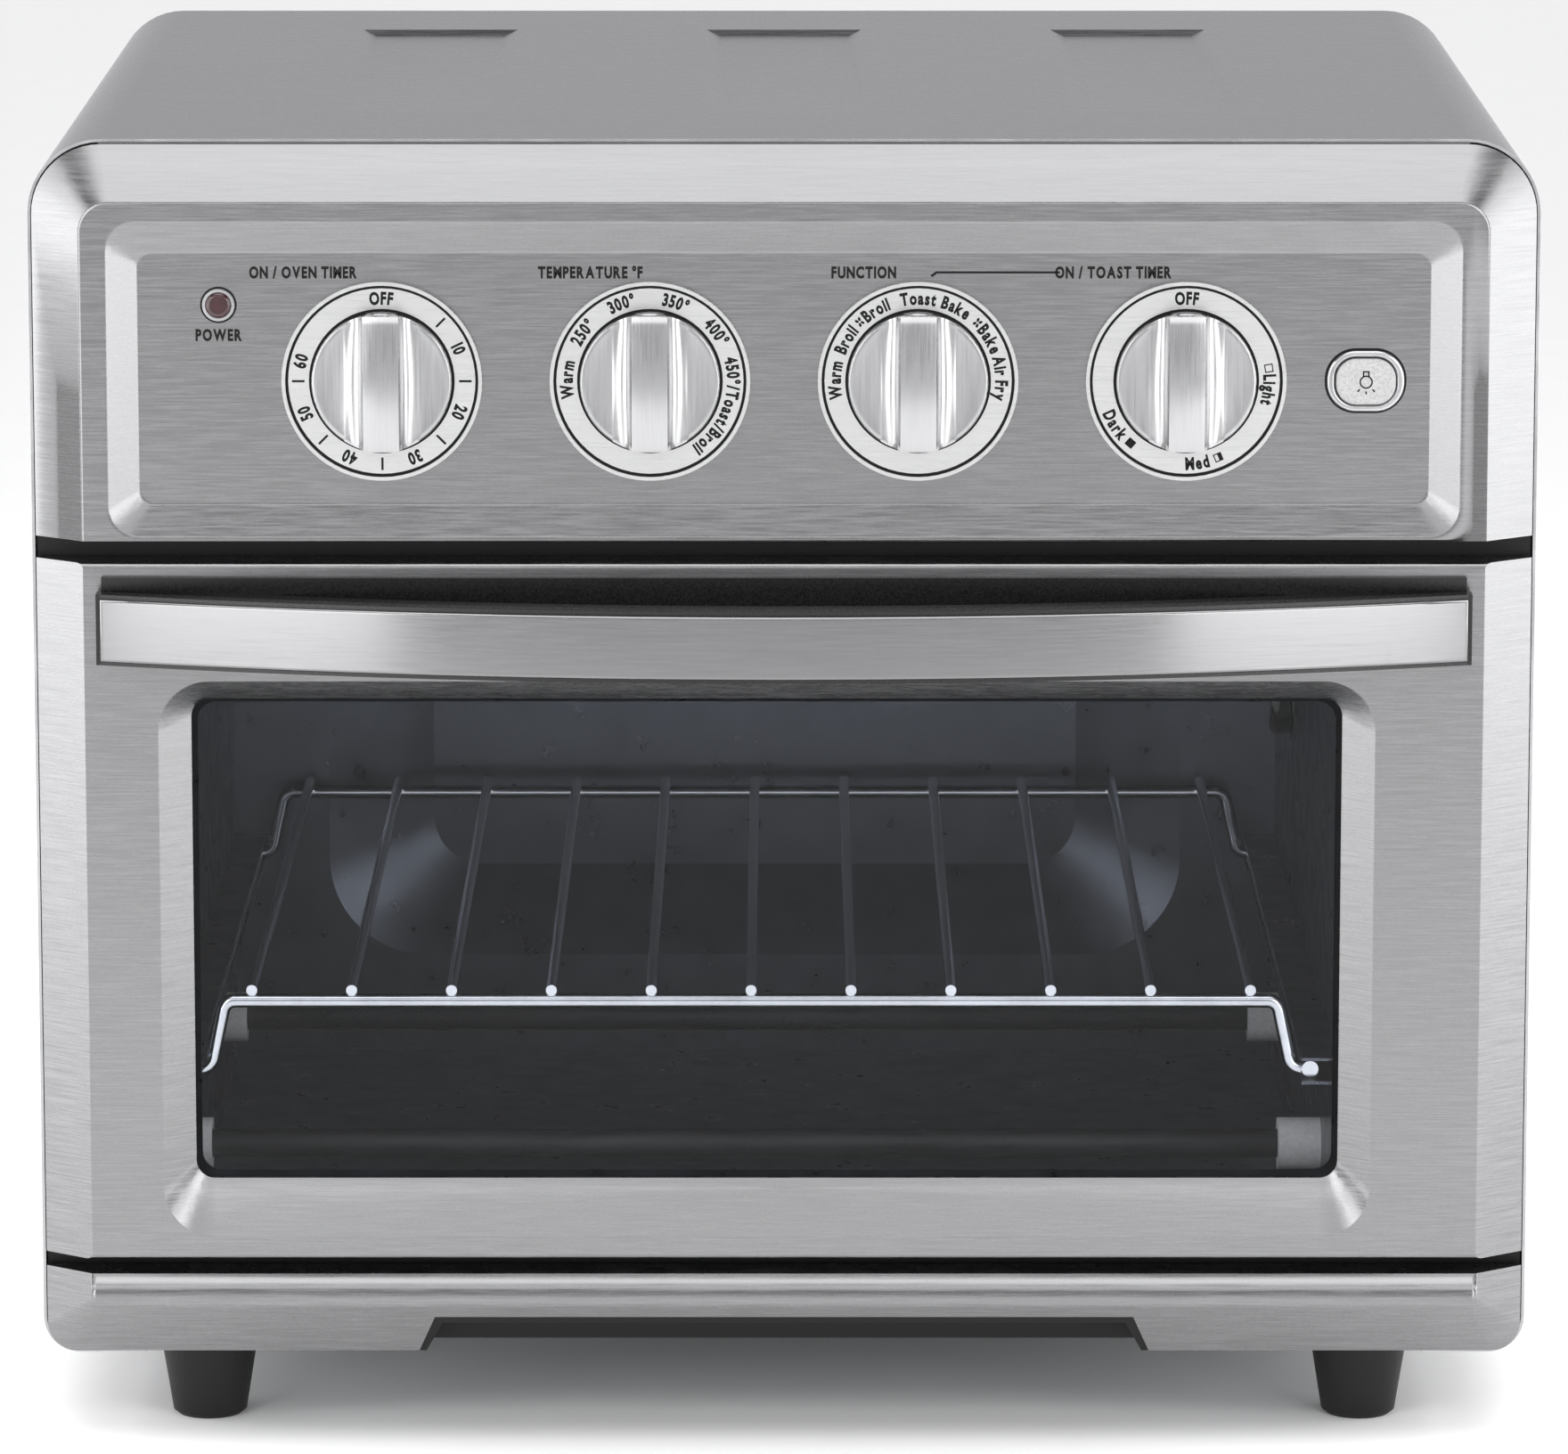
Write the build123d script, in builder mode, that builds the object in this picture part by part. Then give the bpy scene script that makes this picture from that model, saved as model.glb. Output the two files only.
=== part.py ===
from build123d import *
import math
import os

# A countertop toaster oven with an air-fry fan. +Z is up and the front faces -Y. The origin is
# on the counter, under the middle of the oven's outer box. All sizes are in millimetres.
os.makedirs("parts", exist_ok=True)

# ------------------------------------------------------------------ driving dimensions
# The whole oven
overall_width = 406.0
overall_height = 358.5
overall_depth = 400.0
handle_reach = 50.0  # handle's face, forward of the casing's front edge
rear_reach = 12.0  # rear spacers, behind the casing
foot_height = 24.0  # counter to the casing's underside

# Sheet metal and the fits between pieces
sheet = 0.8  # stainless and plated sheet
plate = 1.2  # frames and brackets
tuck_gap = 0.4  # fascia, door and strip inside the line of the cover
sheet_fit = 0.2  # panels set into the cover
running_fit = 0.05  # radial, round a shaft or pin
slide_gap = 0.3  # under and beside what slides

# Casing
top_corner = 20.0
low_corner = 10.0
cover_return = 28.0  # cover's edges turned in under the base
top_panel_width = 46.0
top_panel_pitch = 102.5
top_panel_front = 65.0  # from the casing's front edge
top_panel_rear = 56.0  # from the casing's rear edge
top_panel_depth = 1.5
top_panel_slope = 4.0
vent_length = 26.0
vent_width = 3.0
vent_pitch = 8.0
vent_count = 12
vent_from_rear = 88.0  # middle of the row of side vents
vent_from_top = 58.0
rear_bulge_reach = 8.0
rear_bulge_margin = 11.0  # round the oven cavity's own bulge

# Stamped front: fascia, door and tray front share one relief
relief = 12.0  # ridge plane, forward of the casing's front edge
skirt = 2.0  # straight rim before the outer slope starts
skirt_tuck = 1.2  # fascia's rim inside the cover
side_slope = 13.3  # width of the outer slope at the sides
top_slope = 14.6  # width of the outer slope at the top
ridge_corner = 8.0

# Control fascia
fascia_height = 106.0  # bottom edge to the underside of the cover
panel_recess = 4.0  # dial panel behind the ridge plane
panel_side = 188.5 - 181.6  # ridge to the recess's slope, at the sides
panel_top = 5.2
panel_bottom = 1.0
panel_slope = 8.5
panel_corner = 4.0
dial_pitch = 71.9
dial_drop = 63.0  # dial axes below the fascia's top edge
dial_radius = 26.9
dial_plate = 1.0
dial_rim = 1.8
dial_rim_width = 1.0
knob_radius = 18.75
knob_gap = 0.4  # over the dial plate
knob_disc = 2.6
grip_length = 33.4
grip_width = 10.0
grip_base = 20.0
grip_height = 5.5
grip_sag = 1.6  # hollow of the grip's flanks
shaft_radius = 3.0
shaft_in_knob = 5.5
neck_radius = 4.5
neck_clearance = 0.3
button_inset = 47.0
button_width = 16.0
button_height = 12.4
button_corner = 5.4
button_travel = 2.0
button_proud = 1.2  # beyond its bezel at rest
button_fit = 0.25
bezel_width = 20.8
bezel_height = 16.5
bezel_depth = 1.6
lamp_inset = 51.5
lamp_rise = 20.5  # above the dial axes
lamp_radius = 3.5
lamp_ring_radius = 4.3
bracket_back = 14.0  # control bracket behind the dial panel

# Door
door_gap = 6.0  # door to fascia
strip_gap = 4.0  # door to tray front
strip_rise = 0.9  # tray front above the casing's underside
hinge_rise = 4.3  # hinge axis above the door's lower edge
hinge_forward = 8.0  # hinge axis forward of the casing's front edge
hinge_inset = 25.0  # hinges, stays, feet and the rest from the cover's sides
pin_radius = 2.0
pin_length = 14.0
ear_thickness = 2.0
ear_radius = 2.9
ear_gap = 0.6
block_width = 5.0
block_height = 8.3
window_left = 42.7  # window opening from the cover's sides
window_right = 52.0
window_rise = 21.2  # window opening above the door's lower edge
window_drop = 38.1  # window opening below the door's upper edge
window_corner = 5.0
door_edge = 1.5  # rounded edge along the door's top and foot
seat_reach = 5.0  # window's seat, forward of the casing's front edge
bevel_side = 8.5
bevel_top = 5.9
bevel_bottom = 15.0
bevel_corner = 14.0
glass = 3.2
glass_lap = 4.0  # glass behind the edge of the window
seat_lap = 5.0
retainer_lap = 1.5
stay_radius = 55.0
stay_width = 8.0
stay_thickness = 1.5
stay_inset = 13.0
stay_tail = -15.0  # degrees, behind and below the hinge axis
stay_head = 83.0
frame_setback = 1.5  # front frame behind the casing's front edge

# Door handle
handle_inset = 19.5
band_end_gap = 0.4  # band's ends to the back plate
handle_drop = 8.3  # band's top edge below the door's upper edge
band_height = 17.0
band_thickness = 1.0
band_depth = 7.0
bar_middle = 18.0  # bar's thickness, front to back, in the middle
bar_land_length = 45.5  # handle's end to the finger gap
back_plate = 2.0
back_plate_rise = 4.6  # above the band
back_plate_fall = 2.0

# Oven cavity
cavity_left = 34.0  # oven cavity from the cover
cavity_right = 52.0
cavity_drop = 122.5
cavity_rear_gap = 16.0
sill_rise = 3.0  # cavity floor's front edge above the door's lower edge
bulge_depth = 14.0
bulge_inset = 29.0
bulge_rise = 12.0  # bulge above the sill and below the ceiling
bulge_drop = 10.0
bulge_slope_x = 31.0
bulge_slope_z = 25.0
bulge_corner = 30.0
lower_heater_rise = 9.5  # above the sill
lower_heater_front = 75.0
lower_heater_rear = 79.0  # from the cavity's back
upper_heater_drop = 23.0  # under the ceiling
upper_heater_front = (45.0, 105.0)
upper_heater_rear = (107.0, 47.0)
heater_radius = 4.0
heater_fit = 0.2
heater_cap_radius = 7.3
cap_neck_wall = 1.3
left_cap = 8.0
right_cap = 12.0
cap_outside = 10.0
cap_fit = 0.2

# Wire rack and its guides
rack_rise = 46.0  # side rods above the sill
rack_lift = 18.8  # raised rails above the side rods
rack_margin = 7.0  # side rods from the cavity walls
rack_front = 9.0
rack_rear_gap = 9.0
rail_radius = 2.0
rod_radius = 2.25  # side rods, which ride in the guides
wire_radius = 1.5
wire_pitch = 27.3
wire_weld = 0.4
rack_shoulder = 9.0  # side rods to the raised rails
rack_rise_run = 4.0
rack_bend = 3.5
guide_flange = 9.5
guide_head = 1.0

# Crumb tray
strip_height = 24.1
strip_face = 9.0  # upright part of the strip's front
strip_corner = 8.0
strip_ridge_corner = 2.0
pull_half = 100.0
pull_half_top = 95.4
pull_height = 11.3
pull_depth = 12.0  # behind the casing's front edge
grip_wall = 2.0
pan_rise = 13.6  # pan's floor above the strip's lower edge
pan_height = 8.0
pan_side_gap = 0.5
pan_lip = 8.0
pan_rear_gap = 4.0

# Fan, lamp and what sits above and beside the cavity
fan_radius = 62.0
fan_blade_height = 7.0
fan_hub_radius = 9.0
fan_drop = 4.0  # impeller under the ceiling
fan_shaft_radius = 3.0
guard_radius = 84.0
guard_depth = 14.0
guard_hole = 3.0
guard_rings = ((18.0, 8), (34.0, 14), (50.0, 20), (66.0, 26))
motor_lift = 14.0
motor_width = 58.0
motor_height = 34.0
motor_can_radius = 20.3
bridge_reach = 14.0  # motor bracket beyond the motor's sides
bridge_foot = 12.0
fan_hub_clearance = 1.0
blade_angle = 25.0
blade_count = 8
blade_length = 43.4
blade_middle = 38.4
oven_lamp_inset = 86.0  # from the cavity's back
oven_lamp_drop = 64.0  # under its ceiling
oven_lamp_radius = 19.0
oven_lamp_reach = 7.0
lamp_lap = 3.0  # lamp cover over the edge of its hole
lamp_wall = 2.0
bulb_radius = 8.0
socket_length = 26.0
socket_wall = 4.0
socket_floor = 6.0
probe_radius = 2.5
probe_length = 80.0
probe_inset = 60.0  # probe to the cavity's back
probe_drop = 40.0
probe_reach = 6.0
clip_width = 4.0
timer_size = 44.0
timer_depth = 34.0
timer_post_inset = 4.0
timer_barrel_inset = 8.0
timer_bell_inset = 10.0
timer_bell_depth = 8.0
switch_depth = 20.0
thermostat_size = 30.0
capsule_radius = 11.0
capsule_depth = 6.0
wafer_radius = 17.0
wafer_hub_radius = 13.0
wafer = 4.0
wafer_count = 3
light_switch_size = 16.0
foot_inset = 43.5
foot_setback = 28.0
foot_top_radius = 14.0
foot_low_radius = 10.0
screw_radius = 2.0
screw_head_radius = 4.0
screw_head_height = 2.4
spacer_inset = 25.0
spacer_rise = 80.0
spacer_radius = 9.0
gland_inset = 35.0
gland_rise = 58.0
gland_radius = 8.0
gland_flange_radius = 10.0
gland_bore = 3.6
terminal_inset = 40.0
terminal_length = 40.0
terminal_width = 18.0
terminal_height = 14.0
terminal_lift = 20.0  # above the gland
terminal_pitch = 12.0

# ------------------------------------------------------------------ places worked out from them
half_width = overall_width / 2
casing_front = -overall_depth / 2 + handle_reach
casing_depth = overall_depth - handle_reach - rear_reach
casing_rear = casing_front + casing_depth
casing_low = foot_height
base_top = casing_low + sheet + plate
front_half = half_width - sheet - tuck_gap
ridge_half = front_half - side_slope
ridge_y = casing_front - relief
rim_y = casing_front - skirt
fascia_high = overall_height - sheet - tuck_gap
fascia_low = fascia_high - fascia_height
panel_y = ridge_y + panel_recess
dial_z = fascia_high - dial_drop
dial_xs = [(place - 1.5) * dial_pitch for place in range(4)]
bracket_y = panel_y + bracket_back
unit_y = bracket_y + plate
door_high = fascia_low - door_gap
strip_low = casing_low + strip_rise
strip_high = strip_low + strip_height
door_low = strip_high + strip_gap
door_height = door_high - door_low
hinge_y = casing_front - hinge_forward
hinge_z = door_low + hinge_rise
seat_y = casing_front - seat_reach
glass_y = seat_y + sheet
retainer_y = glass_y + glass
retainer_back = retainer_y + sheet
frame_y = casing_front + frame_setback
frame_back = frame_y + plate
window_x = (window_left - half_width, half_width - window_right)
window_z = (door_low + window_rise, door_high - window_drop)
cavity_low_x = cavity_left - half_width
cavity_high_x = half_width - cavity_right
cavity_x = (cavity_low_x, cavity_high_x)
cavity_middle = (cavity_low_x + cavity_high_x) / 2
cavity_back_y = casing_rear - cavity_rear_gap
cavity_sill = door_low + sill_rise
cavity_ceiling = overall_height - cavity_drop
rack_low = cavity_sill + rack_rise
rack_top = rack_low + rack_lift
pan_floor = strip_low + pan_rise
ledge_top = pan_floor - slide_gap
band_high = door_high - handle_drop
band_low = band_high - band_height
handle_y = casing_front - handle_reach
bulge_x = (cavity_low_x + bulge_inset, cavity_high_x - bulge_inset)
bulge_z = (cavity_sill + bulge_rise, cavity_ceiling - bulge_drop)
fan_centre_y = (casing_front + cavity_back_y) / 2
oven_lamp_y = cavity_back_y - oven_lamp_inset
oven_lamp_z = cavity_ceiling - oven_lamp_drop
hinge_offset = half_width - hinge_inset
stay_offset = half_width - stay_inset
foot_offset = half_width - foot_inset
spacer_offset = half_width - spacer_inset
gland_offset = half_width - gland_inset
button_offset = half_width - button_inset
lamp_offset = lamp_inset - half_width
handle_half = half_width - handle_inset
bar_land = handle_half - bar_land_length
top_panel_length = casing_depth - top_panel_front - top_panel_rear


# ------------------------------------------------------------------ shared shapes
def facing(y):
    """A drawing plane across the oven at depth y, seen from the front: X right, Z up."""
    return Plane(origin=(0, y, 0), x_dir=(1, 0, 0), z_dir=(0, -1, 0))


def block(x, y, z, mode=Mode.ADD):
    """A block from its low and high ends along each axis."""
    middle = ((x[0] + x[1]) / 2, (y[0] + y[1]) / 2, (z[0] + z[1]) / 2)
    with Locations(middle):
        Box(x[1] - x[0], y[1] - y[0], z[1] - z[0], mode=mode)


def outline(y, x, z, low_radius=0.0, high_radius=0.0):
    """A rectangle across the oven at depth y, with its lower and upper corners rounded."""
    with BuildSketch(facing(y)) as drawn:
        with Locations(((x[0] + x[1]) / 2, (z[0] + z[1]) / 2)):
            Rectangle(x[1] - x[0], z[1] - z[0])
        if low_radius > 0:
            fillet(drawn.vertices().group_by(Axis.Y)[0], low_radius)
        if high_radius > 0:
            fillet(drawn.vertices().group_by(Axis.Y)[-1], high_radius)
    return drawn.sketch


def slab(y, x, z, low_radius=0.0, high_radius=0.0, mode=Mode.ADD):
    """A flat plate across the oven from depth y[0] to y[1], with rounded corners."""
    extrude(outline(y[1], x, z, low_radius, high_radius), amount=y[1] - y[0], mode=mode)


def funnel(rear, front, mode=Mode.ADD):
    """A solid between two outlines, each given as (y, x, z, lower radius, upper radius)."""
    loft([outline(*rear), outline(*front)], ruled=True, mode=mode)


def widened(pair, by):
    """A (low, high) pair moved outwards by a distance."""
    return (pair[0] - by, pair[1] + by)


def round_bar(radius, plane, centre, length, mode=Mode.ADD):
    """A round bar that stands on a plane, centred on a point of that plane."""
    with BuildSketch(plane) as drawn:
        with Locations(centre):
            Circle(radius)
    extrude(drawn.sketch, amount=length, mode=mode)


def peg(radius, y, x, z, mode=Mode.ADD):
    """A round bar along the oven's depth, from y[0] to y[1]."""
    round_bar(radius, facing(y[1]), (x, z), y[1] - y[0], mode)


def bar_across(radius, x, y, z, mode=Mode.ADD):
    """A round bar across the oven, from x[0] to x[1]."""
    round_bar(radius, Plane.YZ.offset(x[0]), (y, z), x[1] - x[0], mode)


def post(radius, z, x, y, mode=Mode.ADD):
    """An upright round bar, from z[0] to z[1]."""
    round_bar(radius, Plane.XY.offset(z[0]), (x, y), z[1] - z[0], mode)


# ------------------------------------------------------------------ casing
cover_x = (-half_width, half_width)
cover_z = (casing_low, overall_height)
inner_x = widened(cover_x, -sheet)
inner_z = widened(cover_z, -sheet)
with BuildPart() as outer_cover:
    slab((casing_front, casing_rear), cover_x, cover_z, low_corner, top_corner)
    slab(
        (casing_front, casing_rear), inner_x, inner_z, low_corner - sheet, top_corner - sheet,
        mode=Mode.SUBTRACT,
    )
    block(
        widened(cover_x, -cover_return), (casing_front, casing_rear),
        (casing_low, casing_low + sheet), mode=Mode.SUBTRACT,
    )
    panel_y_span = (
        casing_front + top_panel_front,
        casing_front + top_panel_front + top_panel_length,
    )
    panel_places = [(place - 1) * top_panel_pitch for place in range(3)]
    for panel_x in panel_places:
        block(
            (panel_x - top_panel_width / 2, panel_x + top_panel_width / 2), panel_y_span,
            (overall_height - top_panel_depth - sheet, overall_height - sheet / 2),
        )
        recess_rims = []
        for drop, shrink in ((0, 0), (top_panel_depth, top_panel_slope)):
            with BuildSketch(Plane.XY.offset(overall_height - drop), mode=Mode.PRIVATE) as rim:
                with Locations((panel_x, sum(panel_y_span) / 2)):
                    Rectangle(top_panel_width - 2 * shrink, top_panel_length - 2 * shrink)
            recess_rims.append(rim.sketch)
        loft(recess_rims, ruled=True, mode=Mode.SUBTRACT)
    with BuildSketch(Plane.YZ):
        with Locations((casing_rear - vent_from_rear, overall_height - vent_from_top)):
            with GridLocations(vent_pitch, vent_pitch, vent_count, 1):
                SlotOverall(vent_length, vent_width, rotation=90)
    extrude(amount=half_width + sheet, both=True, mode=Mode.SUBTRACT)
outer_cover.part.label = "outer_cover"
export_step(outer_cover.part, "parts/outer_cover.step")

rear_bulge_x = widened(bulge_x, rear_bulge_margin)
rear_bulge_z = widened(bulge_z, rear_bulge_margin - sheet)
with BuildPart() as rear_panel:
    slab(
        (casing_rear - plate, casing_rear), widened(inner_x, -sheet_fit), widened(inner_z, -sheet_fit),
        low_corner - sheet, top_corner - sheet,
    )
    funnel(
        (casing_rear + rear_bulge_reach, widened(rear_bulge_x, -rear_bulge_reach),
         widened(rear_bulge_z, -rear_bulge_reach), bulge_corner, bulge_corner),
        (casing_rear - plate, rear_bulge_x, rear_bulge_z, bulge_corner, bulge_corner),
    )
    funnel(
        (casing_rear + rear_bulge_reach - plate, widened(rear_bulge_x, -rear_bulge_reach),
         widened(rear_bulge_z, -rear_bulge_reach), bulge_corner, bulge_corner),
        (casing_rear - 2 * plate, rear_bulge_x, rear_bulge_z, bulge_corner, bulge_corner),
        mode=Mode.SUBTRACT,
    )
    with BuildSketch(facing(casing_rear)):
        with Locations((0, overall_height - vent_from_top)):
            with GridLocations(vent_pitch, vent_length + vent_pitch, 2 * vent_count, 2):
                SlotOverall(vent_length, vent_width, rotation=90)
    extrude(amount=plate, mode=Mode.SUBTRACT)
    peg(gland_radius + running_fit, (casing_rear - plate, casing_rear), gland_offset, gland_rise,
        mode=Mode.SUBTRACT)
    for side in (-1, 1):
        peg(screw_radius + running_fit, (casing_rear - plate, casing_rear), side * spacer_offset,
            spacer_rise, mode=Mode.SUBTRACT)
rear_panel.part.label = "rear_panel"
export_step(rear_panel.part, "parts/rear_panel.step")

foot_ys = (casing_front + foot_setback, casing_rear - foot_setback)
foot_places = [(side * foot_offset, foot_y) for foot_y in foot_ys for side in (-1, 1)]
base_half = half_width - low_corner - sheet
with BuildPart() as base_plate:
    block(
        (-base_half, base_half), (frame_back, casing_rear - plate),
        (casing_low + sheet, base_top),
    )
    block(
        widened((-pull_half, pull_half), grip_wall + slide_gap),
        (casing_front, casing_front + pull_depth + grip_wall + slide_gap),
        (casing_low + sheet, base_top), mode=Mode.SUBTRACT,
    )
    for foot_x, foot_y in foot_places:
        post(screw_radius + running_fit, (casing_low, base_top), foot_x, foot_y, mode=Mode.SUBTRACT)
    with BuildSketch(Plane.XY.offset(casing_low + sheet)):
        with Locations((0, (casing_front + casing_rear) / 2)):
            with GridLocations(6 * vent_pitch, vent_length + vent_pitch, 5, 4):
                SlotOverall(vent_length, vent_width, rotation=90)
    extrude(amount=plate, mode=Mode.SUBTRACT)
base_plate.part.label = "base_plate"
export_step(base_plate.part, "parts/base_plate.step")

foot_top = casing_low + sheet
foot_pocket = 10.0  # depth of the screw's pocket in a foot
foot_edge = 1.2
with BuildPart() as feet:
    with Locations(*[(x, y, foot_top / 2) for x, y in foot_places]):
        Cone(foot_low_radius, foot_top_radius, foot_top)
    chamfer(feet.edges().filter_by(GeomType.CIRCLE).group_by(Axis.Z)[0], foot_edge)
    for foot_x, foot_y in foot_places:
        post(screw_head_radius + slide_gap, (0, foot_pocket), foot_x, foot_y, mode=Mode.SUBTRACT)
        post(screw_radius + running_fit, (0, foot_top), foot_x, foot_y, mode=Mode.SUBTRACT)
feet.part.label = "feet"
export_step(feet.part, "parts/feet.step")

with BuildPart() as foot_screws:
    for foot_x, foot_y in foot_places:
        post(screw_head_radius, (foot_pocket - screw_head_height, foot_pocket), foot_x, foot_y)
        post(screw_radius, (foot_pocket, base_top + plate), foot_x, foot_y)
foot_screws.part.label = "foot_screws"
export_step(foot_screws.part, "parts/foot_screws.step")

with BuildPart() as rear_spacers:
    for side in (-1, 1):
        peg(spacer_radius, (casing_rear, casing_rear + rear_reach), side * spacer_offset, spacer_rise)
    fillet(rear_spacers.edges().filter_by(GeomType.CIRCLE).group_by(Axis.Y)[-1], foot_edge)
    for side in (-1, 1):
        peg(screw_radius + running_fit, (casing_rear, casing_rear + rear_reach),
            side * spacer_offset, spacer_rise, mode=Mode.SUBTRACT)
        peg(screw_head_radius + slide_gap, (casing_rear + rear_reach / 2, casing_rear + rear_reach),
            side * spacer_offset, spacer_rise, mode=Mode.SUBTRACT)
rear_spacers.part.label = "rear_spacers"
export_step(rear_spacers.part, "parts/rear_spacers.step")

cover_screw_places = [
    (side * (half_width - 2 * low_corner), rise)
    for side in (-1, 1)
    for rise in (casing_low + 2 * low_corner, overall_height - 2 * top_corner)
]
with BuildPart() as cover_screws:
    for side in (-1, 1):
        middle = casing_rear + rear_reach / 2
        peg(screw_head_radius, (middle, middle + screw_head_height), side * spacer_offset, spacer_rise)
        peg(screw_radius, (casing_rear - 2 * plate, middle), side * spacer_offset, spacer_rise)
    for x, z in cover_screw_places:
        peg(screw_head_radius, (casing_rear, casing_rear + screw_head_height), x, z)
cover_screws.part.label = "cover_screws"
export_step(cover_screws.part, "parts/cover_screws.step")

with BuildPart() as cord_gland:
    peg(gland_flange_radius, (casing_rear, casing_rear + rear_reach / 2), gland_offset, gland_rise)
    chamfer(cord_gland.edges().filter_by(GeomType.CIRCLE).group_by(Axis.Y)[-1], foot_edge)
    peg(gland_radius, (casing_rear - 6 * plate, casing_rear), gland_offset, gland_rise)
    peg(gland_bore, (casing_rear - 6 * plate, casing_rear + rear_reach / 2), gland_offset, gland_rise,
        mode=Mode.SUBTRACT)
cord_gland.part.label = "cord_gland"
export_step(cord_gland.part, "parts/cord_gland.step")

# ------------------------------------------------------------------ control fascia
front_x = (-front_half, front_half)
ridge_x = (-ridge_half, ridge_half)
front_corner = top_corner - sheet - tuck_gap
recess_x = widened(ridge_x, -panel_side)
recess_z = (fascia_low + panel_bottom, fascia_high - top_slope - panel_top)
recess_floor_x = widened(recess_x, -panel_slope)
recess_floor_z = widened(recess_z, -panel_slope)
with BuildPart() as control_fascia:
    slab((rim_y, casing_front + skirt_tuck), front_x, (fascia_low, fascia_high), 0, front_corner)
    funnel(
        (rim_y, front_x, (fascia_low, fascia_high), 0, front_corner),
        (ridge_y, ridge_x, (fascia_low, fascia_high - top_slope), 0, ridge_corner),
    )
    hollow_z = (fascia_low + sheet, fascia_high - sheet)
    slab(
        (rim_y - sheet / 2, casing_front + skirt_tuck), widened(front_x, -sheet), hollow_z,
        0, front_corner - sheet, mode=Mode.SUBTRACT,
    )
    funnel(
        (rim_y - sheet / 2, widened(front_x, -sheet), hollow_z, 0, front_corner - sheet),
        (ridge_y + sheet, widened(ridge_x, -sheet / 2),
         (fascia_low + sheet, fascia_high - top_slope - sheet / 2), 0, ridge_corner - sheet),
        mode=Mode.SUBTRACT,
    )
    funnel(
        (panel_y + sheet, widened(recess_floor_x, sheet), widened(recess_floor_z, sheet),
         panel_corner, panel_corner),
        (ridge_y + sheet / 2, widened(recess_x, sheet / 2), widened(recess_z, sheet / 2),
         ridge_corner, ridge_corner),
    )
    funnel(
        (panel_y, recess_floor_x, recess_floor_z, panel_corner, panel_corner),
        (ridge_y, recess_x, recess_z, ridge_corner, ridge_corner),
        mode=Mode.SUBTRACT,
    )
    for dial_x in dial_xs:
        peg(neck_radius + neck_clearance, (panel_y, panel_y + sheet), dial_x, dial_z,
            mode=Mode.SUBTRACT)
    peg(lamp_radius + running_fit, (panel_y, panel_y + sheet), lamp_offset, dial_z + lamp_rise,
        mode=Mode.SUBTRACT)
    button_hole_x = widened((button_offset - button_width / 2, button_offset + button_width / 2),
                            2 * button_fit)
    button_hole_z = widened((dial_z - button_height / 2, dial_z + button_height / 2), 2 * button_fit)
    slab((panel_y, panel_y + sheet), button_hole_x, button_hole_z, button_corner, button_corner,
         mode=Mode.SUBTRACT)
control_fascia.part.label = "control_fascia"
export_step(control_fascia.part, "parts/control_fascia.step")

dial_face = panel_y - dial_plate
with BuildPart() as dial_rings:
    for dial_x in dial_xs:
        peg(dial_radius, (panel_y - dial_rim, panel_y), dial_x, dial_z)
        peg(dial_radius - dial_rim_width, (panel_y - dial_rim, dial_face), dial_x, dial_z,
            mode=Mode.SUBTRACT)
        peg(neck_radius + neck_clearance, (dial_face, panel_y), dial_x, dial_z, mode=Mode.SUBTRACT)
dial_rings.part.label = "dial_rings"
export_step(dial_rings.part, "parts/dial_rings.step")

lamp_z = dial_z + lamp_rise
with BuildPart() as power_lamp_ring:
    peg(lamp_ring_radius, (panel_y - dial_plate, panel_y), lamp_offset, lamp_z)
    peg(lamp_radius + running_fit, (panel_y - dial_plate, panel_y), lamp_offset, lamp_z,
        mode=Mode.SUBTRACT)
power_lamp_ring.part.label = "power_lamp_ring"
export_step(power_lamp_ring.part, "parts/power_lamp_ring.step")

with BuildPart() as power_lamp_lens:
    peg(lamp_radius, (panel_y - dial_rim, bracket_y), lamp_offset, lamp_z)
    fillet(power_lamp_lens.edges().filter_by(GeomType.CIRCLE).group_by(Axis.Y)[0], foot_edge)
power_lamp_lens.part.label = "power_lamp_lens"
export_step(power_lamp_lens.part, "parts/power_lamp_lens.step")

button_x = (button_offset - button_width / 2, button_offset + button_width / 2)
button_z = (dial_z - button_height / 2, dial_z + button_height / 2)
bezel_x = (button_offset - bezel_width / 2, button_offset + bezel_width / 2)
bezel_z = (dial_z - bezel_height / 2, dial_z + bezel_height / 2)
bezel_face = panel_y - bezel_depth
with BuildPart() as light_button_bezel:
    bezel_corner = button_corner + (bezel_width - button_width) / 2
    slab((bezel_face, panel_y), bezel_x, bezel_z, bezel_corner, bezel_corner)
    slab((bezel_face, panel_y), widened(button_x, button_fit), widened(button_z, button_fit),
         button_corner + button_fit, button_corner + button_fit, mode=Mode.SUBTRACT)
light_button_bezel.part.label = "light_button_bezel"
export_step(light_button_bezel.part, "parts/light_button_bezel.step")

button_face = bezel_face - button_proud
button_back = bracket_y - slide_gap - button_travel
button_edge = 0.7
with BuildPart() as light_button:
    slab((button_face, button_back), button_x, button_z, button_corner, button_corner)
    fillet(light_button.faces().sort_by(Axis.Y)[0].edges(), button_edge)
light_button.part.label = "light_button"
export_step(light_button.part, "parts/light_button.step")

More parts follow.
